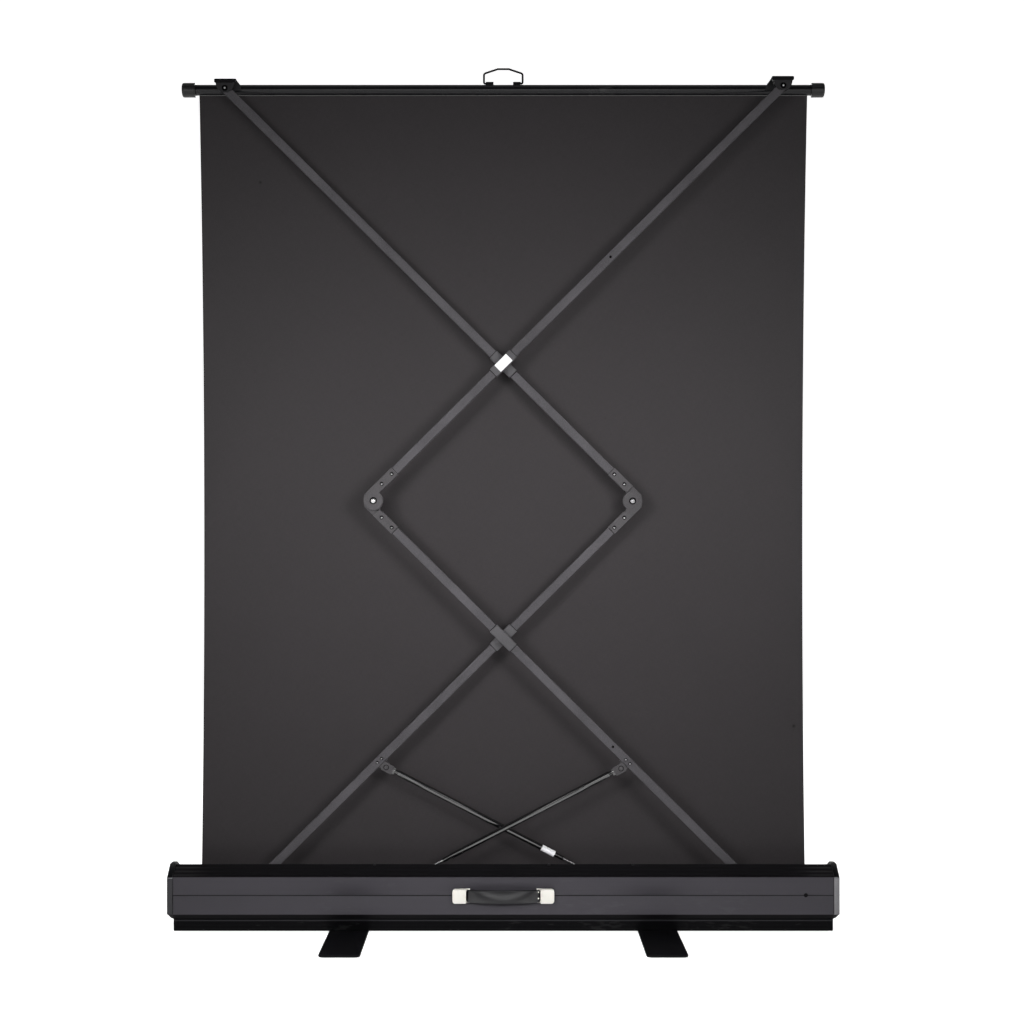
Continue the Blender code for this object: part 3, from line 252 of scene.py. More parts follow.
# Thin scuffs and dust from handling: short pale strokes where a stretched noise peaks.
scuff_marks, scuff_in = effect_group(
    "scuff_marks",
    {"Colour": (0.1, 0.1, 0.1, 1), "Roughness": 0.45, "Amount": 0.5},
    ("Colour", "Roughness"),
)
scuff_place = scuff_marks.nodes.new("ShaderNodeTexCoord")
scuff_stretch = scuff_marks.nodes.new("ShaderNodeMapping")
scuff_stretch.inputs["Rotation"].default_value = (0.3, 0.5, 0.7)
scuff_stretch.inputs["Scale"].default_value = (40, 190, 150)
scuff_marks.links.new(scuff_place.outputs["Object"], scuff_stretch.inputs["Vector"])
scuff_strokes = add_noise(scuff_marks, scuff_stretch.outputs[0], 1.0, 3, 0.6)
scuff_where = add_noise(scuff_marks, scuff_place.outputs["Object"], 7, 2)
scuff_product = add_math(scuff_marks, "MULTIPLY", scuff_strokes, scuff_where)
scuff_over = add_math(scuff_marks, "SUBTRACT", scuff_product, 0.34)
scuff_sharp = add_math(scuff_marks, "MULTIPLY", scuff_over, 14.0)
scuff_limit = add_math(scuff_marks, "MINIMUM", scuff_sharp, 1.0)
scuff_mask = add_math(scuff_marks, "MAXIMUM", scuff_limit, 0.0)
scuff_scaled = add_math(scuff_marks, "MULTIPLY", scuff_mask, scuff_in["Amount"])
scuff_mix = scuff_marks.nodes.new("ShaderNodeMix")
scuff_mix.data_type = "RGBA"
scuff_mix.inputs["B"].default_value = (0.22, 0.22, 0.22, 1)
scuff_marks.links.new(scuff_scaled, scuff_mix.inputs["Factor"])
scuff_marks.links.new(scuff_in["Colour"], scuff_mix.inputs["A"])
scuff_extra = add_math(scuff_marks, "MULTIPLY", scuff_scaled, 0.25)
scuff_rough = add_math(scuff_marks, "ADD", scuff_extra, scuff_in["Roughness"])
give_out(scuff_marks, Colour=scuff_mix.outputs["Result"], Roughness=scuff_rough)

# Paint rubbed pale along sharp edges, where the rounded normal leaves the true one. The same pale
# edges are also a painted highlight, as where an edge catches the light.
edge_wear_and_highlight, edge_in = effect_group(
    "edge_wear_and_highlight",
    {"Colour": (0.1, 0.1, 0.1, 1), "Worn Colour": (0.2, 0.2, 0.2, 1), "Width": 0.0008,
     "Amount": 0.6},
    ("Colour",),
)
edge_round = edge_wear_and_highlight.nodes.new("ShaderNodeBevel")
edge_round.samples = 4
edge_wear_and_highlight.links.new(edge_in["Width"], edge_round.inputs["Radius"])
edge_true = edge_wear_and_highlight.nodes.new("ShaderNodeNewGeometry")
edge_dot = edge_wear_and_highlight.nodes.new("ShaderNodeVectorMath")
edge_dot.operation = "DOT_PRODUCT"
edge_wear_and_highlight.links.new(edge_round.outputs["Normal"], edge_dot.inputs[0])
edge_wear_and_highlight.links.new(edge_true.outputs["Normal"], edge_dot.inputs[1])
edge_turned = add_math(edge_wear_and_highlight, "SUBTRACT", 1.0, edge_dot.outputs["Value"])
edge_strong = add_math(edge_wear_and_highlight, "MULTIPLY", edge_turned, 12.0)
edge_place = edge_wear_and_highlight.nodes.new("ShaderNodeTexCoord")
edge_patches = add_noise(edge_wear_and_highlight, edge_place.outputs["Object"], 90, 3)
edge_broken = add_math(edge_wear_and_highlight, "MULTIPLY", edge_strong, edge_patches)
edge_limit = add_math(edge_wear_and_highlight, "MINIMUM", edge_broken, 1.0)
edge_mask = add_math(edge_wear_and_highlight, "MULTIPLY", edge_limit, edge_in["Amount"])
edge_mix = edge_wear_and_highlight.nodes.new("ShaderNodeMix")
edge_mix.data_type = "RGBA"
edge_wear_and_highlight.links.new(edge_mask, edge_mix.inputs["Factor"])
edge_wear_and_highlight.links.new(edge_in["Colour"], edge_mix.inputs["A"])
edge_wear_and_highlight.links.new(edge_in["Worn Colour"], edge_mix.inputs["B"])
give_out(edge_wear_and_highlight, Colour=edge_mix.outputs["Result"])


def coated(name, colour, roughness, metallic=0.0, specular=0.5, mottle=0.12, grain=0.0012,
           bump=0.08, spread=0.08, scuffs=0.0, coat=0.0, wear_and_highlight=0.0):
    """A paint, plating or plastic with fine grain, scuffs from handling, and pale edges of rubbed
    paint and painted highlight.
    """
    made = bpy.data.materials.new(name)
    made.use_nodes = True
    tree = made.node_tree
    shader = tree.nodes["Principled BSDF"]
    shader.inputs["Metallic"].default_value = metallic
    shader.inputs["Specular IOR Level"].default_value = specular
    shader.inputs["Coat Weight"].default_value = coat
    shader.inputs["Coat Roughness"].default_value = 0.12
    skin = add_group(tree, surface_grain, Colour=(*colour, 1), Mottle=mottle, Grain_Size=grain,
                     Roughness=roughness, Roughness_Spread=spread)
    skin.name = "skin"
    source = skin
    if scuffs > 0:
        source = add_group(tree, scuff_marks, Amount=scuffs)
        tree.links.new(skin.outputs["Colour"], source.inputs["Colour"])
        tree.links.new(skin.outputs["Roughness"], source.inputs["Roughness"])
    tree.links.new(source.outputs["Roughness"], shader.inputs["Roughness"])
    # Pale edges: partly rubbed paint, partly a painted edge highlight.
    if wear_and_highlight > 0:
        worn_and_lit = (*[0.05 + 1.6 * share for share in colour], 1)
        edges = add_group(tree, edge_wear_and_highlight, Worn_Colour=worn_and_lit, Amount=wear_and_highlight)
        tree.links.new(source.outputs["Colour"], edges.inputs["Colour"])
        source = edges
    tree.links.new(source.outputs["Colour"], shader.inputs["Base Color"])
    relief = tree.nodes.new("ShaderNodeBump")
    relief.name = "relief"
    relief.inputs["Strength"].default_value = bump
    relief.inputs["Distance"].default_value = 0.0004
    tree.links.new(skin.outputs["Height"], relief.inputs["Height"])
    tree.links.new(relief.outputs["Normal"], shader.inputs["Normal"])
    return made


def finish_in(piece, name, body, slot_name, paint, *stands_for):
    """Apply a piece's place, name it, give it its finish, and put it on its body."""
    only(piece)
    bpy.ops.object.transform_apply()
    piece.name = name
    piece.data.name = name
    piece.data.materials.clear()
    piece.data.materials.append(paint)
    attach(piece, body)
    if stands_for:
        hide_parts(*stands_for)
    return piece


def edit_all(piece):
    """Open a piece in edit mode with all of it selected."""
    only(piece)
    bpy.ops.object.mode_set(mode="EDIT")
    bpy.ops.mesh.select_all(action="SELECT")


def shade_round(angle):
    """Leave edit mode, and shade the active piece smooth except at edges sharper than that."""
    bpy.ops.object.mode_set(mode="OBJECT")
    bpy.ops.object.shade_smooth_by_angle(angle=radians(angle))


def smooth_copy(node, name, body, slot_name, paint, angle=32):
    """A merged copy of a CAD piece with its round faces shaded smooth, in place of the piece."""
    copy = bpy.data.objects.new(name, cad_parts[node].data.copy())
    scene.collection.objects.link(copy)
    edit_all(copy)
    bpy.ops.mesh.remove_doubles(threshold=0.000002)
    bpy.ops.mesh.dissolve_limited(angle_limit=radians(0.4))
    shade_round(angle)
    return finish_in(copy, name, body, slot_name, paint, node)


def repaint(paint, *nodes):
    """Give CAD pieces that keep their shape their finish."""
    for node in nodes:
        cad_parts[node].data.materials.clear()
        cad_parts[node].data.materials.append(paint)


foot_coat = coated("foot_powder_coat", (0.0048, 0.0048, 0.0057), 0.45, specular=0.10, mottle=0.3,
                   grain=0.0009, bump=0.25, scuffs=0.15, wear_and_highlight=0.6)
pad_rubber = coated("pad_rubber", (0.012, 0.012, 0.012), 0.85, specular=0.2, grain=0.0006, bump=0.3)
zinc_plate = coated("zinc_plate", (0.55, 0.55, 0.56), 0.34, metallic=1.0, mottle=0.25, grain=0.0006,
                    spread=0.2)

for side in ("left", "right"):
    smooth_copy(f"foot_{side}", f"foot_bar_{side}", f"swivel_{side}", "foot_paint", foot_coat)
    repaint(pad_rubber, f"foot_pad_{side}_front", f"foot_pad_{side}_rear")
    smooth_copy(f"foot_pivot_{side}", f"foot_bolt_{side}", "case", "zinc", zinc_plate)

# Case: one aluminium extrusion 1.35 m long, open at the top. Its flat faces are coated satin grey.
# Its ribbed top slope, the faces that turn down and its lower edge are painted near black, as
# painted shade and painted dark reflection. It stands in a folded black rail.


def pick_faces(piece, wanted):
    """Open a piece in edit mode with the faces selected that a test picks."""
    only(piece)
    bpy.ops.object.mode_set(mode="EDIT")
    bpy.ops.mesh.select_mode(type="FACE")
    bpy.ops.mesh.select_all(action="DESELECT")
    bpy.ops.object.mode_set(mode="OBJECT")
    for face in piece.data.polygons:
        face.select = wanted(face)
    bpy.ops.object.mode_set(mode="EDIT")


def assign_faces(piece, paint, wanted):
    """Give the faces that a test on their middle and normal picks another finish."""
    piece.data.materials.append(paint)
    pick_faces(piece, lambda face: wanted(face.center, face.normal))
    piece.active_material_index = len(piece.data.materials) - 1
    bpy.ops.object.material_slot_assign()
    bpy.ops.object.mode_set(mode="OBJECT")


# Long fine lines that the die leaves along an extruded or drawn section.
draw_lines, lines_in = effect_group(
    "draw_lines", {"Height": 0.5, "Line Width": 0.0007, "Strength": 0.5}, ("Height", "Mask")
)
lines_place = draw_lines.nodes.new("ShaderNodeTexCoord")
lines_split = draw_lines.nodes.new("ShaderNodeSeparateXYZ")
draw_lines.links.new(lines_place.outputs["Object"], lines_split.inputs[0])
lines_join = draw_lines.nodes.new("ShaderNodeCombineXYZ")
lines_long = add_math(draw_lines, "MULTIPLY", lines_split.outputs["X"], 1.7)
draw_lines.links.new(lines_long, lines_join.inputs["X"])
for axis in ("Y", "Z"):
    across = add_math(
        draw_lines, "DIVIDE", lines_split.outputs[axis], lines_in["Line Width"]
    )
    draw_lines.links.new(across, lines_join.inputs[axis])
lines_noise = add_noise(draw_lines, lines_join.outputs[0], 1.0, 2)
lines_share = add_math(draw_lines, "MULTIPLY", lines_noise, lines_in["Strength"])
lines_height = add_math(draw_lines, "ADD", lines_share, lines_in["Height"])
give_out(draw_lines, Height=lines_height, Mask=lines_noise)


def draw(paint, strength, tone=0.0):
    """Add draw lines along X to a finish, in its relief and, by tone, in its colour."""
    tree = paint.node_tree
    lines = add_group(tree, draw_lines, Strength=strength)
    tree.links.new(tree.nodes["skin"].outputs["Height"], lines.inputs["Height"])
    tree.links.new(lines.outputs["Height"], tree.nodes["relief"].inputs["Height"])
    if tone > 0:
        base = tree.nodes["Principled BSDF"].inputs["Base Color"]
        share = add_math(tree, "MULTIPLY", lines.outputs["Mask"], 2 * tone)
        factor = add_math(tree, "ADD", share, 1 - tone)
        tree.links.new(scale_colour(tree, base.links[0].from_socket, factor), base)
    return paint


case_grey = draw(
    coated("case_satin_grey", (0.050, 0.047, 0.055), 0.50, metallic=0.2, specular=0.22,
           mottle=0.16, grain=0.0014, bump=0.10, scuffs=0.03),
    0.9, tone=0.05,
)
case_black_and_shade = draw(
    coated("case_matt_black_and_painted_shade", (0.0070, 0.0066, 0.0075), 0.50, specular=0.04, mottle=0.2,
           bump=0.12), 0.8,
)
case_inside = coated("case_mill_inside", (0.10, 0.10, 0.10), 0.5, metallic=0.8, specular=0.3)
rail_black = draw(
    coated("rail_black", (0.0032, 0.0032, 0.0037), 0.50, specular=0.03, mottle=0.2, bump=0.1,
           scuffs=0.04), 0.6,
)
# A paler strip for the top of the rail's faces: a painted highlight along that edge.
rail_edge_highlight = coated("rail_painted_edge_highlight", (0.013, 0.013, 0.015), 0.45, specular=0.2, mottle=0.4,
                   grain=0.004)
screw_black = coated("screw_black", (0.010, 0.010, 0.011), 0.30, metallic=0.4, grain=0.0005)
screw_steel = coated("screw_steel", (0.62, 0.62, 0.63), 0.22, metallic=1.0, mottle=0.15,
                     grain=0.0005)

case_shell = smooth_copy("case_channel", "case_shell", "case", "case_paint", case_grey, 12)
# Painted shade and dark reflection: the top slope and the faces that turn up or down get near
# black.
assign_faces(
    case_shell, case_black_and_shade,
    lambda middle, normal: (normal.z > 0.30 or normal.z < -0.30) and not -0.047 < middle.y < 0.050
    or normal.z > 0.30 and middle.z > 0.10,
)
# Painted shade at the foot: the lower edge near the rail gets near black too.
assign_faces(
    case_shell, case_black_and_shade, lambda middle, normal: middle.z < 0.036 and abs(normal.z) < 0.5
)
assign_faces(
    case_shell, case_inside,
    lambda middle, normal: normal.y > 0.2 and middle.y < 0 or normal.y < -0.2 and middle.y > 0
    or normal.z > 0.9 and middle.z < 0.02,
)
case_rail = smooth_copy("base_rail", "case_rail", "case", "rail_paint", rail_black)
# Painted highlight: the top of the rail's faces gets the paler strip.
assign_faces(
    case_rail, rail_edge_highlight, lambda middle, normal: middle.z > 0.0268 and abs(normal.y) > 0.5
)


def turn_to(facing, up="X"):
    """The turn that points a piece's Z axis along a way."""
    return Vector(facing).to_track_quat("Z", up).to_matrix().to_4x4()


def button_screw(name, body, place, facing, radius, proud, paint=None):
    """A round-headed screw with a cross-shaped recess."""
    head = fresh(bpy.ops.mesh.primitive_cylinder_add, vertices=24, radius=radius, depth=proud)
    head.data.transform(Matrix.Translation((0, 0, proud / 2)))
    pick_faces(head, lambda face: face.normal.z > 0.9)
    bpy.ops.mesh.inset(thickness=radius * 0.28, depth=0)
    bpy.ops.transform.translate(value=(0, 0, proud * 0.5))
    bpy.ops.mesh.inset(thickness=radius * 0.32, depth=0)
    bpy.ops.transform.translate(value=(0, 0, proud * 0.25))
    bpy.ops.mesh.inset(thickness=radius * 0.16, depth=-proud * 0.7)
    shade_round(40)
    head.matrix_world = Matrix.Translation(place) @ turn_to(facing)
    return finish_in(head, name, body, "zinc", paint or screw_black)


for i, x in enumerate((-0.2648, 0.0941, 0.2665)):
    button_screw(f"rim_screw_{i + 1}", "case", (x, -0.0268, 0.1372), (0, -0.45, 0.89), 0.0032,
                 0.0006)
button_screw("groove_screw", "case", (0.6165, -0.0600, 0.0815), (0, -1, 0), 0.0042, 0.0005,
             case_black_and_shade)

# End caps: thick black plastic mouldings pushed into both ends of the extrusion, domed outside
# and rounded in towards the floor. A thin raised strip along the foot of their top slope is pale as
# a painted highlight, a near-black strip paints the shade in the gap where each cap meets the case
# face, and a tongue below each cap closes the lower end of the extrusion.
cap_black = coated("cap_black", (0.0050, 0.0050, 0.0057), 0.50, specular=0.08, mottle=0.25,
                   grain=0.0008, bump=0.2, scuffs=0.06, wear_and_highlight=0.5)
cap_grey = coated("cap_satin_grey", (0.040, 0.039, 0.043), 0.5, specular=0.2, mottle=0.2,
                  grain=0.0010, bump=0.15, wear_and_highlight=0.5)
# A paler grey for the right cap's face: painted light, where the lamps on that side fall on it.
cap_painted_lit = coated("cap_painted_lit_grey", (0.240, 0.235, 0.248), 0.5, specular=0.2, mottle=0.4,
                  grain=0.0014, bump=0.15, wear_and_highlight=0.5)
# A pale grey for the strip along the foot of the cap's slope: a painted highlight.
ridge_highlight = coated("cap_painted_highlight_ridge", (0.170, 0.168, 0.175), 0.42, mottle=0.4, grain=0.003)


def soft_box(size, edge, middle=(0, 0, 0)):
    """A small box with its edges rounded."""
    box = fresh(bpy.ops.mesh.primitive_cube_add, size=1, location=middle)
    box.scale = size
    bpy.ops.object.transform_apply()
    edit_all(box)
    bpy.ops.mesh.bevel(offset=edge, segments=2, affect="EDGES")
    bpy.ops.object.mode_set(mode="OBJECT")
    return box


for side, out in (("left", -1), ("right", 1)):
    case_end = smooth_copy(f"end_cap_{side}", f"case_end_{side}", "case", "cap_plastic", cap_black)
    # The face towards the camera is grey; on the right cap it is paler, as painted light.
    assign_faces(case_end, cap_grey if side == "left" else cap_painted_lit,
                 lambda middle, normal: normal.y < -0.7 and middle.z < 0.118)
    # The strip along the foot of the top slope, pale as a painted highlight.
    ridge = soft_box((0.0106, 0.0010, 0.0019), 0.0004, (out * 0.6795, -0.0610, 0.1164))
    shade_round(50)
    finish_in(ridge, f"cap_highlight_ridge_{side}", "case", "cap_plastic", ridge_highlight)
    # A near-black strip that paints the shade in the gap between the cap and the case face.
    joint = soft_box((0.0012, 0.0012, 0.0745), 0.0002, (out * 0.6737, -0.0600, 0.0800))
    finish_in(joint, f"cap_gap_shade_{side}", "case", "cap_plastic", case_black_and_shade)
    tongue = fresh(bpy.ops.mesh.primitive_cube_add, size=1, location=(out * 0.6729, 0.0030, 0.0214))
    tongue.scale = (0.0022, 0.1000, 0.0200)
    bpy.ops.object.transform_apply()
    pick_faces(tongue, lambda face: face.normal.z > 0.5)
    bpy.ops.mesh.extrude_region_move(TRANSFORM_OT_translate={"value": (0, 0, 0.0120)})
    bpy.ops.transform.resize(value=(1, 1.18, 1))
    bpy.ops.object.mode_set(mode="OBJECT")
    finish_in(tongue, f"cap_tongue_{side}", "case", "cap_plastic", cap_black)

# Carry handle: a flexible rubber strap whose thin ends slide in two pale plastic clips on the
# case's rear face, so that it bows out when it is lifted. Two rivets hold one end of the strap.
clip_cream = coated("clip_cream", (0.82, 0.80, 0.74), 0.42, mottle=0.05, grain=0.002, bump=0.05,
                    spread=0.05)
strap_rubber = coated("strap_rubber", (0.0040, 0.0037, 0.0050), 0.34, specular=0.60, mottle=0.2,
                      grain=0.0008, bump=0.10)

for side in ("left", "right"):
    smooth_copy(f"handle_clip_{side}", f"grip_clip_{side}", "case", "clip_plastic", clip_cream)
smooth_copy("carry_grip", "grip_strap", "grip", "grip_rubber", strap_rubber, 40)

STRAP_HALF_X = 0.0690
STRAP_HALF_Z = 0.0118
STRAP_Z = 0.081
BOW_HALF_X = 0.0740
BOW_DEPTH = 0.0090
strap_crown = fresh(bpy.ops.mesh.primitive_grid_add, x_subdivisions=48, y_subdivisions=14, size=2)
for vertex in strap_crown.data.vertices:
    along, up = vertex.co.x, vertex.co.y
    face_y = -0.0673 - BOW_DEPTH * (1 - (along * STRAP_HALF_X / BOW_HALF_X) ** 4)
    crown = 0.0012 * (1 - up * up) + 0.0034 * (1 - up) * (1 - along ** 2) ** 1.5
    crown *= 1 - along ** 8
    vertex.co = (along * STRAP_HALF_X, face_y - crown, STRAP_Z + up * STRAP_HALF_Z)
edit_all(strap_crown)
bpy.ops.mesh.extrude_region_move(TRANSFORM_OT_translate={"value": (0, 0.001, 0)})
bpy.ops.object.mode_set(mode="OBJECT")
for vertex in strap_crown.data.vertices:
    if vertex.select:
        vertex.co.y = -0.0670 - BOW_DEPTH * (1 - (vertex.co.x / BOW_HALF_X) ** 4)
edit_all(strap_crown)
bpy.ops.mesh.normals_make_consistent(inside=False)
shade_round(50)
finish_in(strap_crown, "strap_crown", "grip", "grip_rubber", strap_rubber)
for i, z in enumerate((0.0896, 0.0766)):
    button_screw(f"strap_rivet_{i + 1}", "grip", (0.0715, -0.0682, z), (0, -1, 0), 0.0016, 0.0006,
                 clip_cream)

# Roller: a thin aluminium tube on two plated brackets, with a plastic plug in each end and a
# torsion spring on the arbor of one. The cloth winds round it, here its last two turns.
bare_tube = draw(
    coated("roller_mill_finish", (0.62, 0.62, 0.63), 0.36, metallic=1.0, mottle=0.12,
           grain=0.0012, bump=0.1), 0.8,
)
plug_plastic = coated("plug_plastic", (0.030, 0.030, 0.031), 0.5, specular=0.35)
spring_wire = coated("spring_wire", (0.42, 0.41, 0.40), 0.35, metallic=1.0, mottle=0.3,
                     grain=0.0006)

smooth_copy("roller_tube", "roller_barrel", "roller", "raw_aluminium", bare_tube)
smooth_copy("roller_pin_end", "roller_plug_pin", "roller", "sleeve_plastic", plug_plastic)
smooth_copy("roller_spring_end", "roller_plug_spring", "roller", "sleeve_plastic", plug_plastic)
smooth_copy("roller_spring", "roller_torsion_spring", "roller", "zinc", spring_wire, 60)
repaint(zinc_plate, "roller_bracket_left", "roller_bracket_right")

# Plain weave on cloth, from the cloth's own flat measure in metres: one thread over, one under,
# with slightly uneven yarn.
THREAD_PITCH = 0.0007
cloth_weave, weave_in = effect_group("cloth_weave", {"Slub": 0.3}, ("Height", "Yarn"))
weave_place = cloth_weave.nodes.new("ShaderNodeUVMap")
weave_place.uv_map = "flat_cloth"
weave_split = cloth_weave.nodes.new("ShaderNodeSeparateXYZ")
cloth_weave.links.new(weave_place.outputs["UV"], weave_split.inputs[0])
weave_waves = []
for axis in ("X", "Y"):
    turns = add_math(cloth_weave, "DIVIDE", weave_split.outputs[axis], THREAD_PITCH)
    angle = add_math(cloth_weave, "MULTIPLY", turns, pi)
    weave_waves.append(add_math(cloth_weave, "SINE", angle))
weave_cross = add_math(cloth_weave, "MULTIPLY", weave_waves[0], weave_waves[1])
weave_half = add_math(cloth_weave, "MULTIPLY", weave_cross, 0.5)
weave_height = add_math(cloth_weave, "ADD", weave_half, 0.5)
weave_yarns = []
for stretch in ((90, 2600, 1), (2600, 90, 1)):
    along = cloth_weave.nodes.new("ShaderNodeMapping")
    along.inputs["Scale"].default_value = stretch
    cloth_weave.links.new(weave_place.outputs["UV"], along.inputs["Vector"])
    weave_yarns.append(add_noise(cloth_weave, along.outputs[0], 1.0, 1))
weave_mean = add_math(cloth_weave, "ADD", *weave_yarns)
weave_signed = add_math(cloth_weave, "SUBTRACT", weave_mean, 1.0)
weave_slub = add_math(cloth_weave, "MULTIPLY", weave_signed, weave_in["Slub"])
weave_yarn = add_math(cloth_weave, "ADD", weave_slub, 1.0)
give_out(cloth_weave, Height=weave_height, Yarn=weave_yarn)


def woven(name, colour, roughness, slub, bump, mottle, specular):
    """Coated screen cloth with its weave, uneven yarn and faint cloudy variation."""
    made = coated(name, colour, roughness, specular=specular, mottle=mottle, grain=0.02,
                  spread=0.05)
    tree = made.node_tree
    threads = add_group(tree, cloth_weave, Slub=slub)
    yarn = scale_colour(tree, tree.nodes["skin"].outputs["Colour"], threads.outputs["Yarn"])
    tree.links.new(yarn, tree.nodes["Principled BSDF"].inputs["Base Color"])
    relief = tree.nodes["relief"]
    relief.inputs["Strength"].default_value = bump
    relief.inputs["Distance"].default_value = 0.0002
    tree.links.new(threads.outputs["Height"], relief.inputs["Height"])
    return made


def flat_map(sheet, place):
    """Give each corner of a sheet its place on the flat cloth, in metres."""
    layer = sheet.data.uv_layers.get("flat_cloth") or sheet.data.uv_layers.new(name="flat_cloth")
    for loop in sheet.data.loops:
        layer.data[loop.index].uv = place(sheet.data.vertices[loop.vertex_index])


def thicken(sheet, thickness, offset=0):
    """Give a sheet its thickness, which lies on both sides of it where offset is 0."""
    only(sheet)
    body = sheet.modifiers.new("thickness", "SOLIDIFY")
    body.thickness = thickness
    body.offset = offset
    bpy.ops.object.modifier_apply(modifier=body.name)


backing_black = woven("backing_black", (0.0285, 0.0258, 0.0272), 0.40, slub=0.5, bump=0.15,
                      mottle=0.08, specular=0.10)

# Two specks of dirt that the cloth carries, at their places on the flat cloth.
speck_nodes = backing_black.node_tree.nodes
speck_links = backing_black.node_tree.links
speck_place = speck_nodes.new("ShaderNodeUVMap")
speck_place.uv_map = "flat_cloth"
speck_colour = speck_nodes["Principled BSDF"].inputs["Base Color"].links[0].from_socket
for spot, size in (((-0.512, 1.522, 0), 0.0040), ((0.617, 0.380, 0), 0.0050)):
    away = speck_nodes.new("ShaderNodeVectorMath")
    away.operation = "DISTANCE"
    away.inputs[1].default_value = spot
    speck_links.new(speck_place.outputs["UV"], away.inputs[0])
    share = add_math(backing_black.node_tree, "DIVIDE", away.outputs["Value"], size)
    limit = add_math(backing_black.node_tree, "MINIMUM", share, 1.0)
    speck_colour = scale_colour(backing_black.node_tree, speck_colour, limit)
speck_links.new(speck_colour, speck_nodes["Principled BSDF"].inputs["Base Color"])

CLOTH_HALF = 0.637
ROLLER_Y = 0.036
ROLLER_Z = 0.033
WIND_START = 0.0154
WIND_PITCH = 0.0009
WIND_TURNS = 2
WIND_LENGTH = WIND_TURNS * 2 * pi * (WIND_START + WIND_PITCH * WIND_TURNS / 2)

wound_cloth = fresh(bpy.ops.mesh.primitive_grid_add, x_subdivisions=24, y_subdivisions=96, size=2)
flat_map(wound_cloth, lambda v: (v.co.x * CLOTH_HALF, (v.co.y + 1) / 2 * WIND_LENGTH))
for vertex in wound_cloth.data.vertices:
    turn = (vertex.co.y + 1) / 2 * WIND_TURNS
    radius = WIND_START + WIND_PITCH * turn
    vertex.co = (
        vertex.co.x * CLOTH_HALF,
        ROLLER_Y + radius * cos(2 * pi * turn),
        ROLLER_Z + radius * sin(2 * pi * turn),
    )
thicken(wound_cloth, 0.0003)
shade_round(40)
finish_in(wound_cloth, "wound_cloth", "roller", "cloth_black", backing_black, "fabric_on_roller")

# Base hinges and spring anchors: zinc-plated steel, folded and punched, screwed to the floor of
# the case. Turned pins with low round heads go through them.
hinge_steel = coated("hinge_steel", (0.48, 0.48, 0.49), 0.38, metallic=1.0, mottle=0.3,
                     grain=0.0008, spread=0.2, bump=0.12)
for side in ("left", "right"):
    smooth_copy(f"base_hinge_{side}", f"floor_hinge_{side}", "case", "zinc", hinge_steel)
    smooth_copy(f"base_pin_{side}", f"floor_hinge_pin_{side}", "case", "zinc", zinc_plate)
    smooth_copy(f"spring_anchor_{side}", f"floor_anchor_{side}", "case", "zinc", hinge_steel)

# Lower arms: flat-oval aluminium tubes with a dark grey textured powder coat, which cross in the
# middle. A cast fitting plugs each top end, held by two screws in countersunk holes.
arm_coat = coated("arm_powder_coat", (0.064, 0.061, 0.066), 0.60, metallic=0.1, specular=0.15,
                  mottle=0.9, grain=0.0020, bump=0.5, scuffs=0.03, wear_and_highlight=0.7)
fitting_coat = coated("fitting_cast_coat", (0.056, 0.053, 0.056), 0.55, metallic=0.1,
                      specular=0.2, mottle=0.9, grain=0.0022, bump=0.5, wear_and_highlight=0.8)
# Near black: the finish of black washers and pins, and painted shade in holes and gaps.
black_and_painted_shade = coated("black_and_painted_shade", (0.0010, 0.0010, 0.0011), 0.7, specular=0.03, grain=0.0006)

PIVOT_HALF = 0.578
BASE_Z = 0.030
ELBOW_X = 0.2684685
ELBOW_Z = 0.8870108
TOP_Z = 1.7440216
OPEN_ANGLE = radians(44.76)
CROSSING_ALONG = PIVOT_HALF / cos(OPEN_ANGLE)
ARM_REACH = 1.2045
ARM_Y = {"left": 0.007, "right": -0.011}
FACE_OUT = 0.0072
FITTING_SCREWS = (0.0368, 0.0659)
FITTING_REACH = 0.0751
TO_REAR = Matrix.Rotation(pi / 2, 4, "X")


def arm_point(side, level, along, across=0.0):
    """A place on an arm: along from its end pivot, and across towards its elbow's side."""
    way = 1 if side == "left" else -1
    rise = 1 if level == "lower" else -1
    x = -way * PIVOT_HALF + way * (along * cos(OPEN_ANGLE) - across * sin(OPEN_ANGLE))
    start = BASE_Z if level == "lower" else TOP_Z
    z = start + rise * (along * sin(OPEN_ANGLE) + across * cos(OPEN_ANGLE))
    return Vector((x, 0, z))


def sunk_screw(name, body, spot, face_y, radius=0.0040):
    """A screw in a countersunk hole: a near-black dish that paints the shade in the hole, with a
    bright domed head at its middle.
    """
    hole_shade = fresh(bpy.ops.mesh.primitive_cylinder_add, vertices=28, radius=radius, depth=0.0004)
    pick_faces(hole_shade, lambda face: face.normal.z > 0.9)
    bpy.ops.mesh.inset(thickness=radius * 0.18, depth=0)
    bpy.ops.mesh.inset(thickness=radius * 0.25, depth=-0.0003)
    shade_round(40)
    hole_shade.matrix_world = Matrix.Translation((spot.x, face_y - 0.0002, spot.z)) @ TO_REAR
    finish_in(hole_shade, name + "_dish", body, "zinc", black_and_painted_shade)
    button_screw(name, body, (spot.x, face_y - 0.0001, spot.z), (0, -1, 0), radius * 0.48,
                 0.0007, screw_steel)


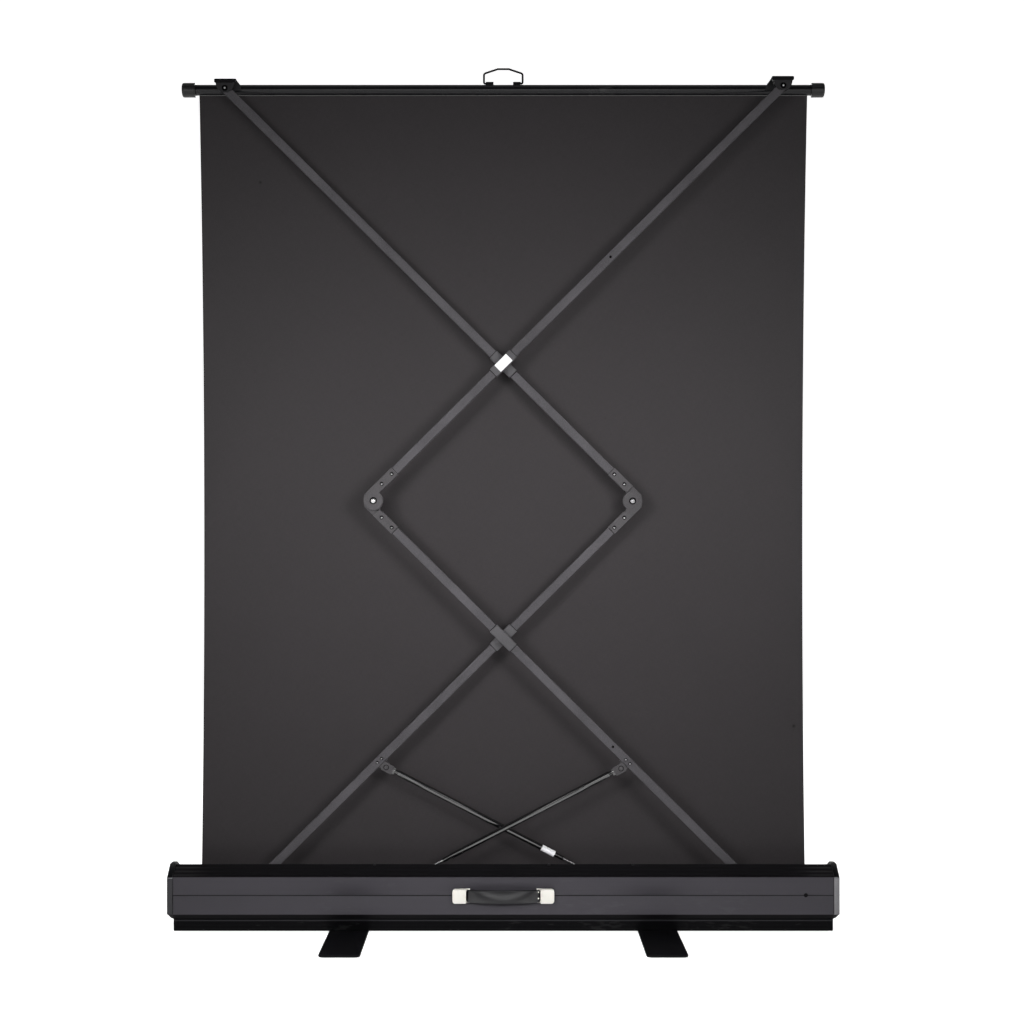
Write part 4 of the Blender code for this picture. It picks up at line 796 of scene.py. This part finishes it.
def elbow_pivot(side, bright):
    """The elbow's domed pin head inside a black washer, on both faces of the joint."""
    x = ELBOW_X if side == "right" else -ELBOW_X
    lower = "left" if side == "right" else "right"
    body = f"lower_{lower}"
    smooth_copy(f"elbow_pin_{side}", f"elbow_rivet_{side}", body, "zinc", bright, 50)
    for end, facing in (("rear", -1), ("front", 1)):
        ring = fresh(bpy.ops.mesh.primitive_torus_add, major_radius=0.0060, minor_radius=0.0012,
                     major_segments=40, minor_segments=10)
        ring.data.transform(Matrix.Scale(0.4, 4, (0, 0, 1)))
        ring_y = ARM_Y[lower] + facing * 0.0084
        ring.matrix_world = Matrix.Translation((x, ring_y, ELBOW_Z)) @ TO_REAR
        bpy.ops.object.shade_smooth()
        finish_in(ring, f"elbow_washer_{side}_{end}", body, "zinc", black_and_painted_shade)
        dome = fresh(bpy.ops.mesh.primitive_uv_sphere_add, segments=28, ring_count=14,
                     radius=0.0050)
        edit_all(dome)
        bpy.ops.mesh.bisect(plane_co=(0, 0, 0.0002), plane_no=(0, 0, 1), use_fill=True,
                            clear_inner=True)
        bpy.ops.mesh.select_all(action="SELECT")
        bpy.ops.transform.resize(value=(1, 1, 0.30))
        shade_round(40)
        dome_y = ARM_Y[lower] + facing * 0.0083
        dome.matrix_world = Matrix.Translation((x, dome_y, ELBOW_Z)) @ turn_to((0, facing, 0))
        finish_in(dome, f"elbow_dome_{side}_{end}", body, "zinc", bright)


# One pin part in two finishes: brighter as a painted highlight, darker as painted shade.
pin_painted_lit = coated("pin_painted_lit", (0.80, 0.80, 0.80), 0.18, metallic=1.0, mottle=0.1,
                    grain=0.0006)
pin_painted_shaded = coated("pin_painted_shaded", (0.42, 0.42, 0.43), 0.24, metallic=1.0, mottle=0.3, grain=0.0006)


def gap_shade_band(name, body, slot_name, side, level, along, width=0.0012):
    """A near-black band that paints the shade in the gap round an arm where it leaves a sleeve or a
    fitting.
    """
    shade_band = soft_box((width, 0.0100, 0.0188), 0.0003)
    lean = OPEN_ANGLE if (side == "left") == (level == "lower") else -OPEN_ANGLE
    spot = arm_point(side, level, along)
    place = Matrix.Translation((spot.x, ARM_Y[side], spot.z))
    shade_band.matrix_world = place @ Matrix.Rotation(-lean, 4, "Y")
    finish_in(shade_band, name, body, slot_name, black_and_painted_shade)


def dress_arm(side, level):
    """An arm's tube, with the fitting at its elbow, the screws in it and painted shade in the gap
    round it.
    """
    body = f"{level}_{side}"
    other = "right" if side == "left" else "left"
    smooth_copy(f"{level}_arm_{side}", f"{level}_tube_{side}", body, "arm_paint", arm_coat)
    smooth_copy(f"{level}_elbow_{other}", f"{level}_fitting_{other}", body, "elbow_paint",
                fitting_coat, 20)
    for i, back in enumerate(FITTING_SCREWS):
        spot = arm_point(side, level, ARM_REACH - back)
        sunk_screw(f"{level}_fitting_screw_{other}_{i + 1}", body, spot, ARM_Y[side] - FACE_OUT)
    gap_shade_band(f"{level}_fitting_gap_shade_{other}", body, "arm_paint", side, level,
              ARM_REACH - FITTING_REACH, 0.0009)


def blind_hole(level, along):
    """A near-black button that paints the shade of the small blind hole in the rear face of a right
    arm.
    """
    spot = arm_point("right", level, along)
    button_screw(f"{level}_arm_hole_shade", f"{level}_right", (spot.x, ARM_Y["right"] - 0.0046, spot.z),
                 (0, -1, 0), 0.0028, 0.0004, black_and_painted_shade)


for side in ("left", "right"):
    dress_arm(side, "lower")
# The left pin gets the painted highlight, the right one the painted shade.
elbow_pivot("left", pin_painted_lit)
elbow_pivot("right", pin_painted_shaded)
blind_hole("lower", 0.495)

# Spring lugs: cast saddles clamped on the lower arms by two small screws, with an ear below that
# carries the top eye of a gas spring.
for side in ("left", "right"):
    smooth_copy(f"spring_lug_{side}", f"spring_saddle_{side}", f"lower_{side}", "elbow_paint",
                fitting_coat, 25)
    for i, along in enumerate((0.4460, 0.4580)):
        sunk_screw(f"saddle_screw_{side}_{i + 1}", f"lower_{side}",
                   arm_point(side, "lower", along), ARM_Y[side] - FACE_OUT, 0.0031)

# Crossing sleeves: plastic box mouldings that slide on the arms where these cross. The sleeves
# of two crossing arms face each other, and turn on a low round boss.
sleeve_grey = coated("sleeve_moulded_grey", (0.062, 0.060, 0.064), 0.50, specular=0.3,
                     mottle=0.5, grain=0.0016, bump=0.25, wear_and_highlight=0.9)
SLEEVE_HALF = 0.0296


def dress_sleeve(side, level):
    """A sliding sleeve, with painted shade in the gap round the arm at both of its ends."""
    body = f"sleeve_{level}_{side}"
    smooth_copy(f"{level}_sleeve_{side}", f"{level}_slider_{side}", body, "sleeve_plastic",
                sleeve_grey)
    for end, back in (("near", -SLEEVE_HALF), ("far", SLEEVE_HALF)):
        gap_shade_band(f"{level}_slider_seam_{side}_{end}", body, "sleeve_plastic", side, level,
                  CROSSING_ALONG + back)


for side in ("left", "right"):
    dress_sleeve(side, "lower")

# Gas springs: gloss black steel cylinders with a guide collar, and plated rods that run down to
# the floor of the case. A plain white label is wrapped round the left one, near its lower end.
cylinder_black = coated("cylinder_gloss_black", (0.0030, 0.0030, 0.0034), 0.17, specular=1.0,
                        mottle=0.2, grain=0.0007, bump=0.02, spread=0.04, coat=1.0)
rod_plate = coated("rod_hard_chrome", (0.80, 0.80, 0.81), 0.26, metallic=1.0, mottle=0.08,
                   grain=0.0007, bump=0.03)
label_white = coated("label_white", (0.78, 0.78, 0.80), 0.45, specular=0.4, mottle=0.03,
                     grain=0.003, bump=0.04, spread=0.04)

for side in ("left", "right"):
    smooth_copy(f"gas_cylinder_{side}", f"spring_cylinder_{side}", f"cylinder_{side}",
                "gloss_black", cylinder_black)
    smooth_copy(f"gas_rod_{side}", f"spring_rod_{side}", f"rod_{side}", "rod_steel", rod_plate)

SPRING_TOP = Vector((-0.242969, 0.007, 0.3340694))
SPRING_WAY = Vector((0.8874559, 0, -0.4608926))


def round_plate(size, thin, corner, segments):
    """A thin plate with round corners, whose thickness runs along the axis thin."""
    plate = fresh(bpy.ops.mesh.primitive_cube_add, size=1)
    plate.data.transform(Matrix.Diagonal((*size, 1)))
    pick_edges(plate, lambda first, last: abs(first[thin] - last[thin]) > 0.5 * size[thin])
    bpy.ops.mesh.bevel(offset=corner, segments=segments, affect="EDGES")
    bpy.ops.object.mode_set(mode="OBJECT")
    return plate


for side, sign in (("left", 1), ("right", -1)):
    way = Vector((sign * SPRING_WAY.x, 0, SPRING_WAY.z))
    pivot = Vector((sign * SPRING_TOP.x, ARM_Y[side] - FACE_OUT, SPRING_TOP.z))
    end_block = round_plate((0.0240, 0.0180, 0.0012), 2, 0.0030, 5)
    shade_round(40)
    across = Vector((0, -1, 0)).cross(way)
    turn = Matrix((way, across, (0, -1, 0))).transposed().to_4x4()
    place = pivot + way * 0.0035 + Vector((0, -0.0004, 0))
    end_block.matrix_world = Matrix.Translation(place) @ turn
    finish_in(end_block, f"spring_end_{side}", f"cylinder_{side}", "gloss_black", fitting_coat)
    boss = fresh(bpy.ops.mesh.primitive_torus_add, major_radius=0.0050, minor_radius=0.0006,
                 major_segments=36, minor_segments=8)
    boss.matrix_world = Matrix.Translation(pivot + Vector((0, -0.0011, 0))) @ turn
    bpy.ops.object.shade_smooth()
    finish_in(boss, f"spring_eye_rim_{side}", f"cylinder_{side}", "gloss_black", black_and_painted_shade)
    button_screw(f"spring_pin_{side}", f"cylinder_{side}", pivot + Vector((0, -0.0009, 0)),
                 (0, -1, 0), 0.0038, 0.0006, fitting_coat)

wrap_band = fresh(bpy.ops.mesh.primitive_cylinder_add, vertices=40, radius=0.00640, depth=0.0300,
                  end_fill_type="NOTHING")
wrap_place = Matrix.Translation(SPRING_TOP + SPRING_WAY * 0.3785)
wrap_band.matrix_world = wrap_place @ turn_to(SPRING_WAY, "Y")
bpy.ops.object.transform_apply()
thicken(wrap_band, 0.00015, offset=-1)
shade_round(40)
finish_in(wrap_band, "spring_wrap_label", "cylinder_left", "gloss_black", label_white)

# Upper arms: the same tubes, fittings and sleeves as below, turned over. The front sleeve has a
# plain white sticker, and the right arm a small blind hole.
for side in ("left", "right"):
    dress_arm(side, "upper")
    dress_sleeve(side, "upper")
blind_hole("upper", 0.502)

sleeve_sticker = round_plate((0.0335, 0.0190, 0.0002), 2, 0.0010, 4)
sticker_spot = arm_point("right", "upper", CROSSING_ALONG - 0.0005)
sticker_y = ARM_Y["right"] - FACE_OUT - 0.0002
sleeve_sticker.matrix_world = (
    Matrix.Translation((sticker_spot.x, sticker_y, sticker_spot.z))
    @ Matrix.Rotation(-OPEN_ANGLE, 4, "Y") @ TO_REAR
)
finish_in(sleeve_sticker, "sleeve_sticker", "sleeve_upper_right", "sleeve_plastic", label_white)

# Top tube: a round aluminium tube, coated gloss black, with a ribbed plastic cup on each end.
tube_black = draw(
    coated("tube_gloss_black", (0.0030, 0.0028, 0.0040), 0.28, specular=0.28, mottle=0.15,
           grain=0.0012, bump=0.05, spread=0.06, scuffs=0.06), 0.4,
)
smooth_copy("top_tube", "top_rail_tube", "top_bar", "tube_paint", tube_black)

cup_black = coated("cup_black", (0.0040, 0.0040, 0.0046), 0.30, specular=0.35, mottle=0.25,
                   grain=0.0008, bump=0.15, wear_and_highlight=0.5)

TUBE_Y = 0.033
TUBE_Z = TOP_Z + 0.0048
for side, out in (("left", -1), ("right", 1)):
    cup = fresh(bpy.ops.mesh.primitive_cylinder_add, vertices=48, radius=0.0148, depth=0.0280)
    pick_faces(cup, lambda face: face.normal.z > 0.9)
    bpy.ops.mesh.bevel(offset=0.0034, segments=5, affect="EDGES")
    pick_faces(cup, lambda face: face.normal.z < -0.9)
    bpy.ops.mesh.inset(thickness=0.0030, depth=0)
    bpy.ops.mesh.inset(thickness=0.0001, depth=-0.0120)
    pick_faces(cup, lambda face: face.index % 2 == 0 and abs(face.normal.z) < 0.1
               and face.center.xy.length > 0.014)
    bpy.ops.mesh.inset(thickness=0.0003, depth=-0.0004, use_individual=True)
    shade_round(25)
    turn = Matrix.Rotation(out * pi / 2, 4, "Y")
    cup.matrix_world = Matrix.Translation((out * 0.6581, TUBE_Y, TUBE_Z)) @ turn
    finish_in(cup, f"tube_cup_{side}", "top_bar", "cap_plastic", cup_black, f"tube_cap_{side}")

# Top brackets: dark coated steel, folded over the tube, with a fork below for the end of each
# upper arm. Black-headed pins hold the arms.
bracket_black = coated("bracket_black", (0.0170, 0.0165, 0.0180), 0.50, specular=0.2,
                       mottle=0.6, grain=0.0016, bump=0.3, wear_and_highlight=0.3)
BRACKET_TOP_Z = TOP_Z + 0.0190


def is_fold_end(first, last):
    """Whether an edge runs from front to rear along an end of a bracket's flat top."""
    reach = [abs(end.x) - PIVOT_HALF for end in (first, last)]
    on_top = abs(first.y - last.y) > 0.01 and min(first.z, last.z) > BRACKET_TOP_Z - 0.0001
    return on_top and (min(reach) > 0.0220 or max(reach) < -0.0238)


for side, out in (("left", -1), ("right", 1)):
    bracket = smooth_copy(f"top_bracket_{side}", f"tube_bracket_{side}", "top_bar",
                          "elbow_paint", bracket_black)
    pick_edges(bracket, is_fold_end)
    bpy.ops.mesh.bevel(offset=0.0021, segments=5, affect="EDGES")
    shade_round(32)
    flange_edge = round_plate((0.0456, 0.0010, 0.0084), 1, 0.0028, 6)
    shade_round(40)
    flange_edge.location = (
        out * (PIVOT_HALF - 0.0009), ARM_Y[side] - FACE_OUT - 0.0013, BRACKET_TOP_Z - 0.0042
    )
    finish_in(flange_edge, f"bracket_flange_{side}", "top_bar", "elbow_paint", cap_black)
    smooth_copy(f"top_pin_{side}", f"bracket_pin_{side}", "top_bar", "zinc", black_and_painted_shade)
    button_screw(f"bracket_pin_tip_{side}", "top_bar",
                 (out * PIVOT_HALF, ARM_Y[side] - 0.0086, TOP_Z), (0, -1, 0), 0.0019, 0.0009,
                 zinc_plate)

# Pull bail: black steel wire, bent to a flat-topped loop, that swings in two plastic clips on
# the middle of the tube.
wire_black = coated("wire_black", (0.0035, 0.0035, 0.0040), 0.45, specular=0.05,
                    mottle=0.2, grain=0.0007)
bail_loop = smooth_copy("bail_handle", "bail_loop", "bail", "wire_steel", wire_black, 50)
edit_all(bail_loop)
bpy.ops.transform.shrink_fatten(value=0.0005)
bpy.ops.object.mode_set(mode="OBJECT")
for side in ("left", "right"):
    smooth_copy(f"bail_clip_{side}", f"bail_saddle_{side}", "top_bar", "cap_plastic", cap_black)

# Screen cloth: coated glass-fibre weave, black on the back, with a matt white viewing area
# inside a black border on the audience's side. It hangs stretched from the tube to the roller,
# and its free edges draw in a little at half height.
CLOTH_LOW = Vector((0, 0.0534, 0.0345))
CLOTH_HIGH = Vector((0, TUBE_Y, TUBE_Z - 0.0113))
CLOTH_WAIST = 0.0078
CLOTH_LENGTH = (CLOTH_HIGH - CLOTH_LOW).length
WHITE_SHARE = 0.945
WHITE_LOW, WHITE_HIGH = 0.068, 0.966


def half_width(up):
    """Half the cloth's width at a share of its height."""
    return CLOTH_HALF - CLOTH_WAIST * 4 * up * (1 - up)


screen_cloth = fresh(bpy.ops.mesh.primitive_grid_add, x_subdivisions=56, y_subdivisions=88, size=2)
flat_map(screen_cloth, lambda v: (v.co.x * CLOTH_HALF, (v.co.y + 1) / 2 * CLOTH_LENGTH))
for vertex in screen_cloth.data.vertices:
    across, up = vertex.co.x, (vertex.co.y + 1) / 2
    wave = 0.0006 * sin(7 * across + 1.3) + 0.0012 * across ** 8
    vertex.co = CLOTH_LOW.lerp(CLOTH_HIGH, up)
    vertex.co.x = across * half_width(up)
    vertex.co.y += 4 * up * (1 - up) * wave
thicken(screen_cloth, 0.0004)
edit_all(screen_cloth)
bpy.ops.mesh.normals_make_consistent(inside=False)
shade_round(40)
finish_in(screen_cloth, "screen_cloth", "case", "cloth_black", backing_black, "screen_fabric")

viewing_white = woven("viewing_white", (0.80, 0.80, 0.79), 0.9, slub=0.04, bump=0.12,
                      mottle=0.02, specular=0.2)


def in_viewing_area(middle, normal):
    """Whether a face lies on the audience's side, inside the black border."""
    up = (middle.z - CLOTH_LOW.z) / (CLOTH_HIGH.z - CLOTH_LOW.z)
    inside = abs(middle.x) < WHITE_SHARE * half_width(up) and WHITE_LOW < up < WHITE_HIGH
    return normal.y > 0.5 and inside


assign_faces(screen_cloth, viewing_white, in_viewing_area)
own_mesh(screen_cloth)
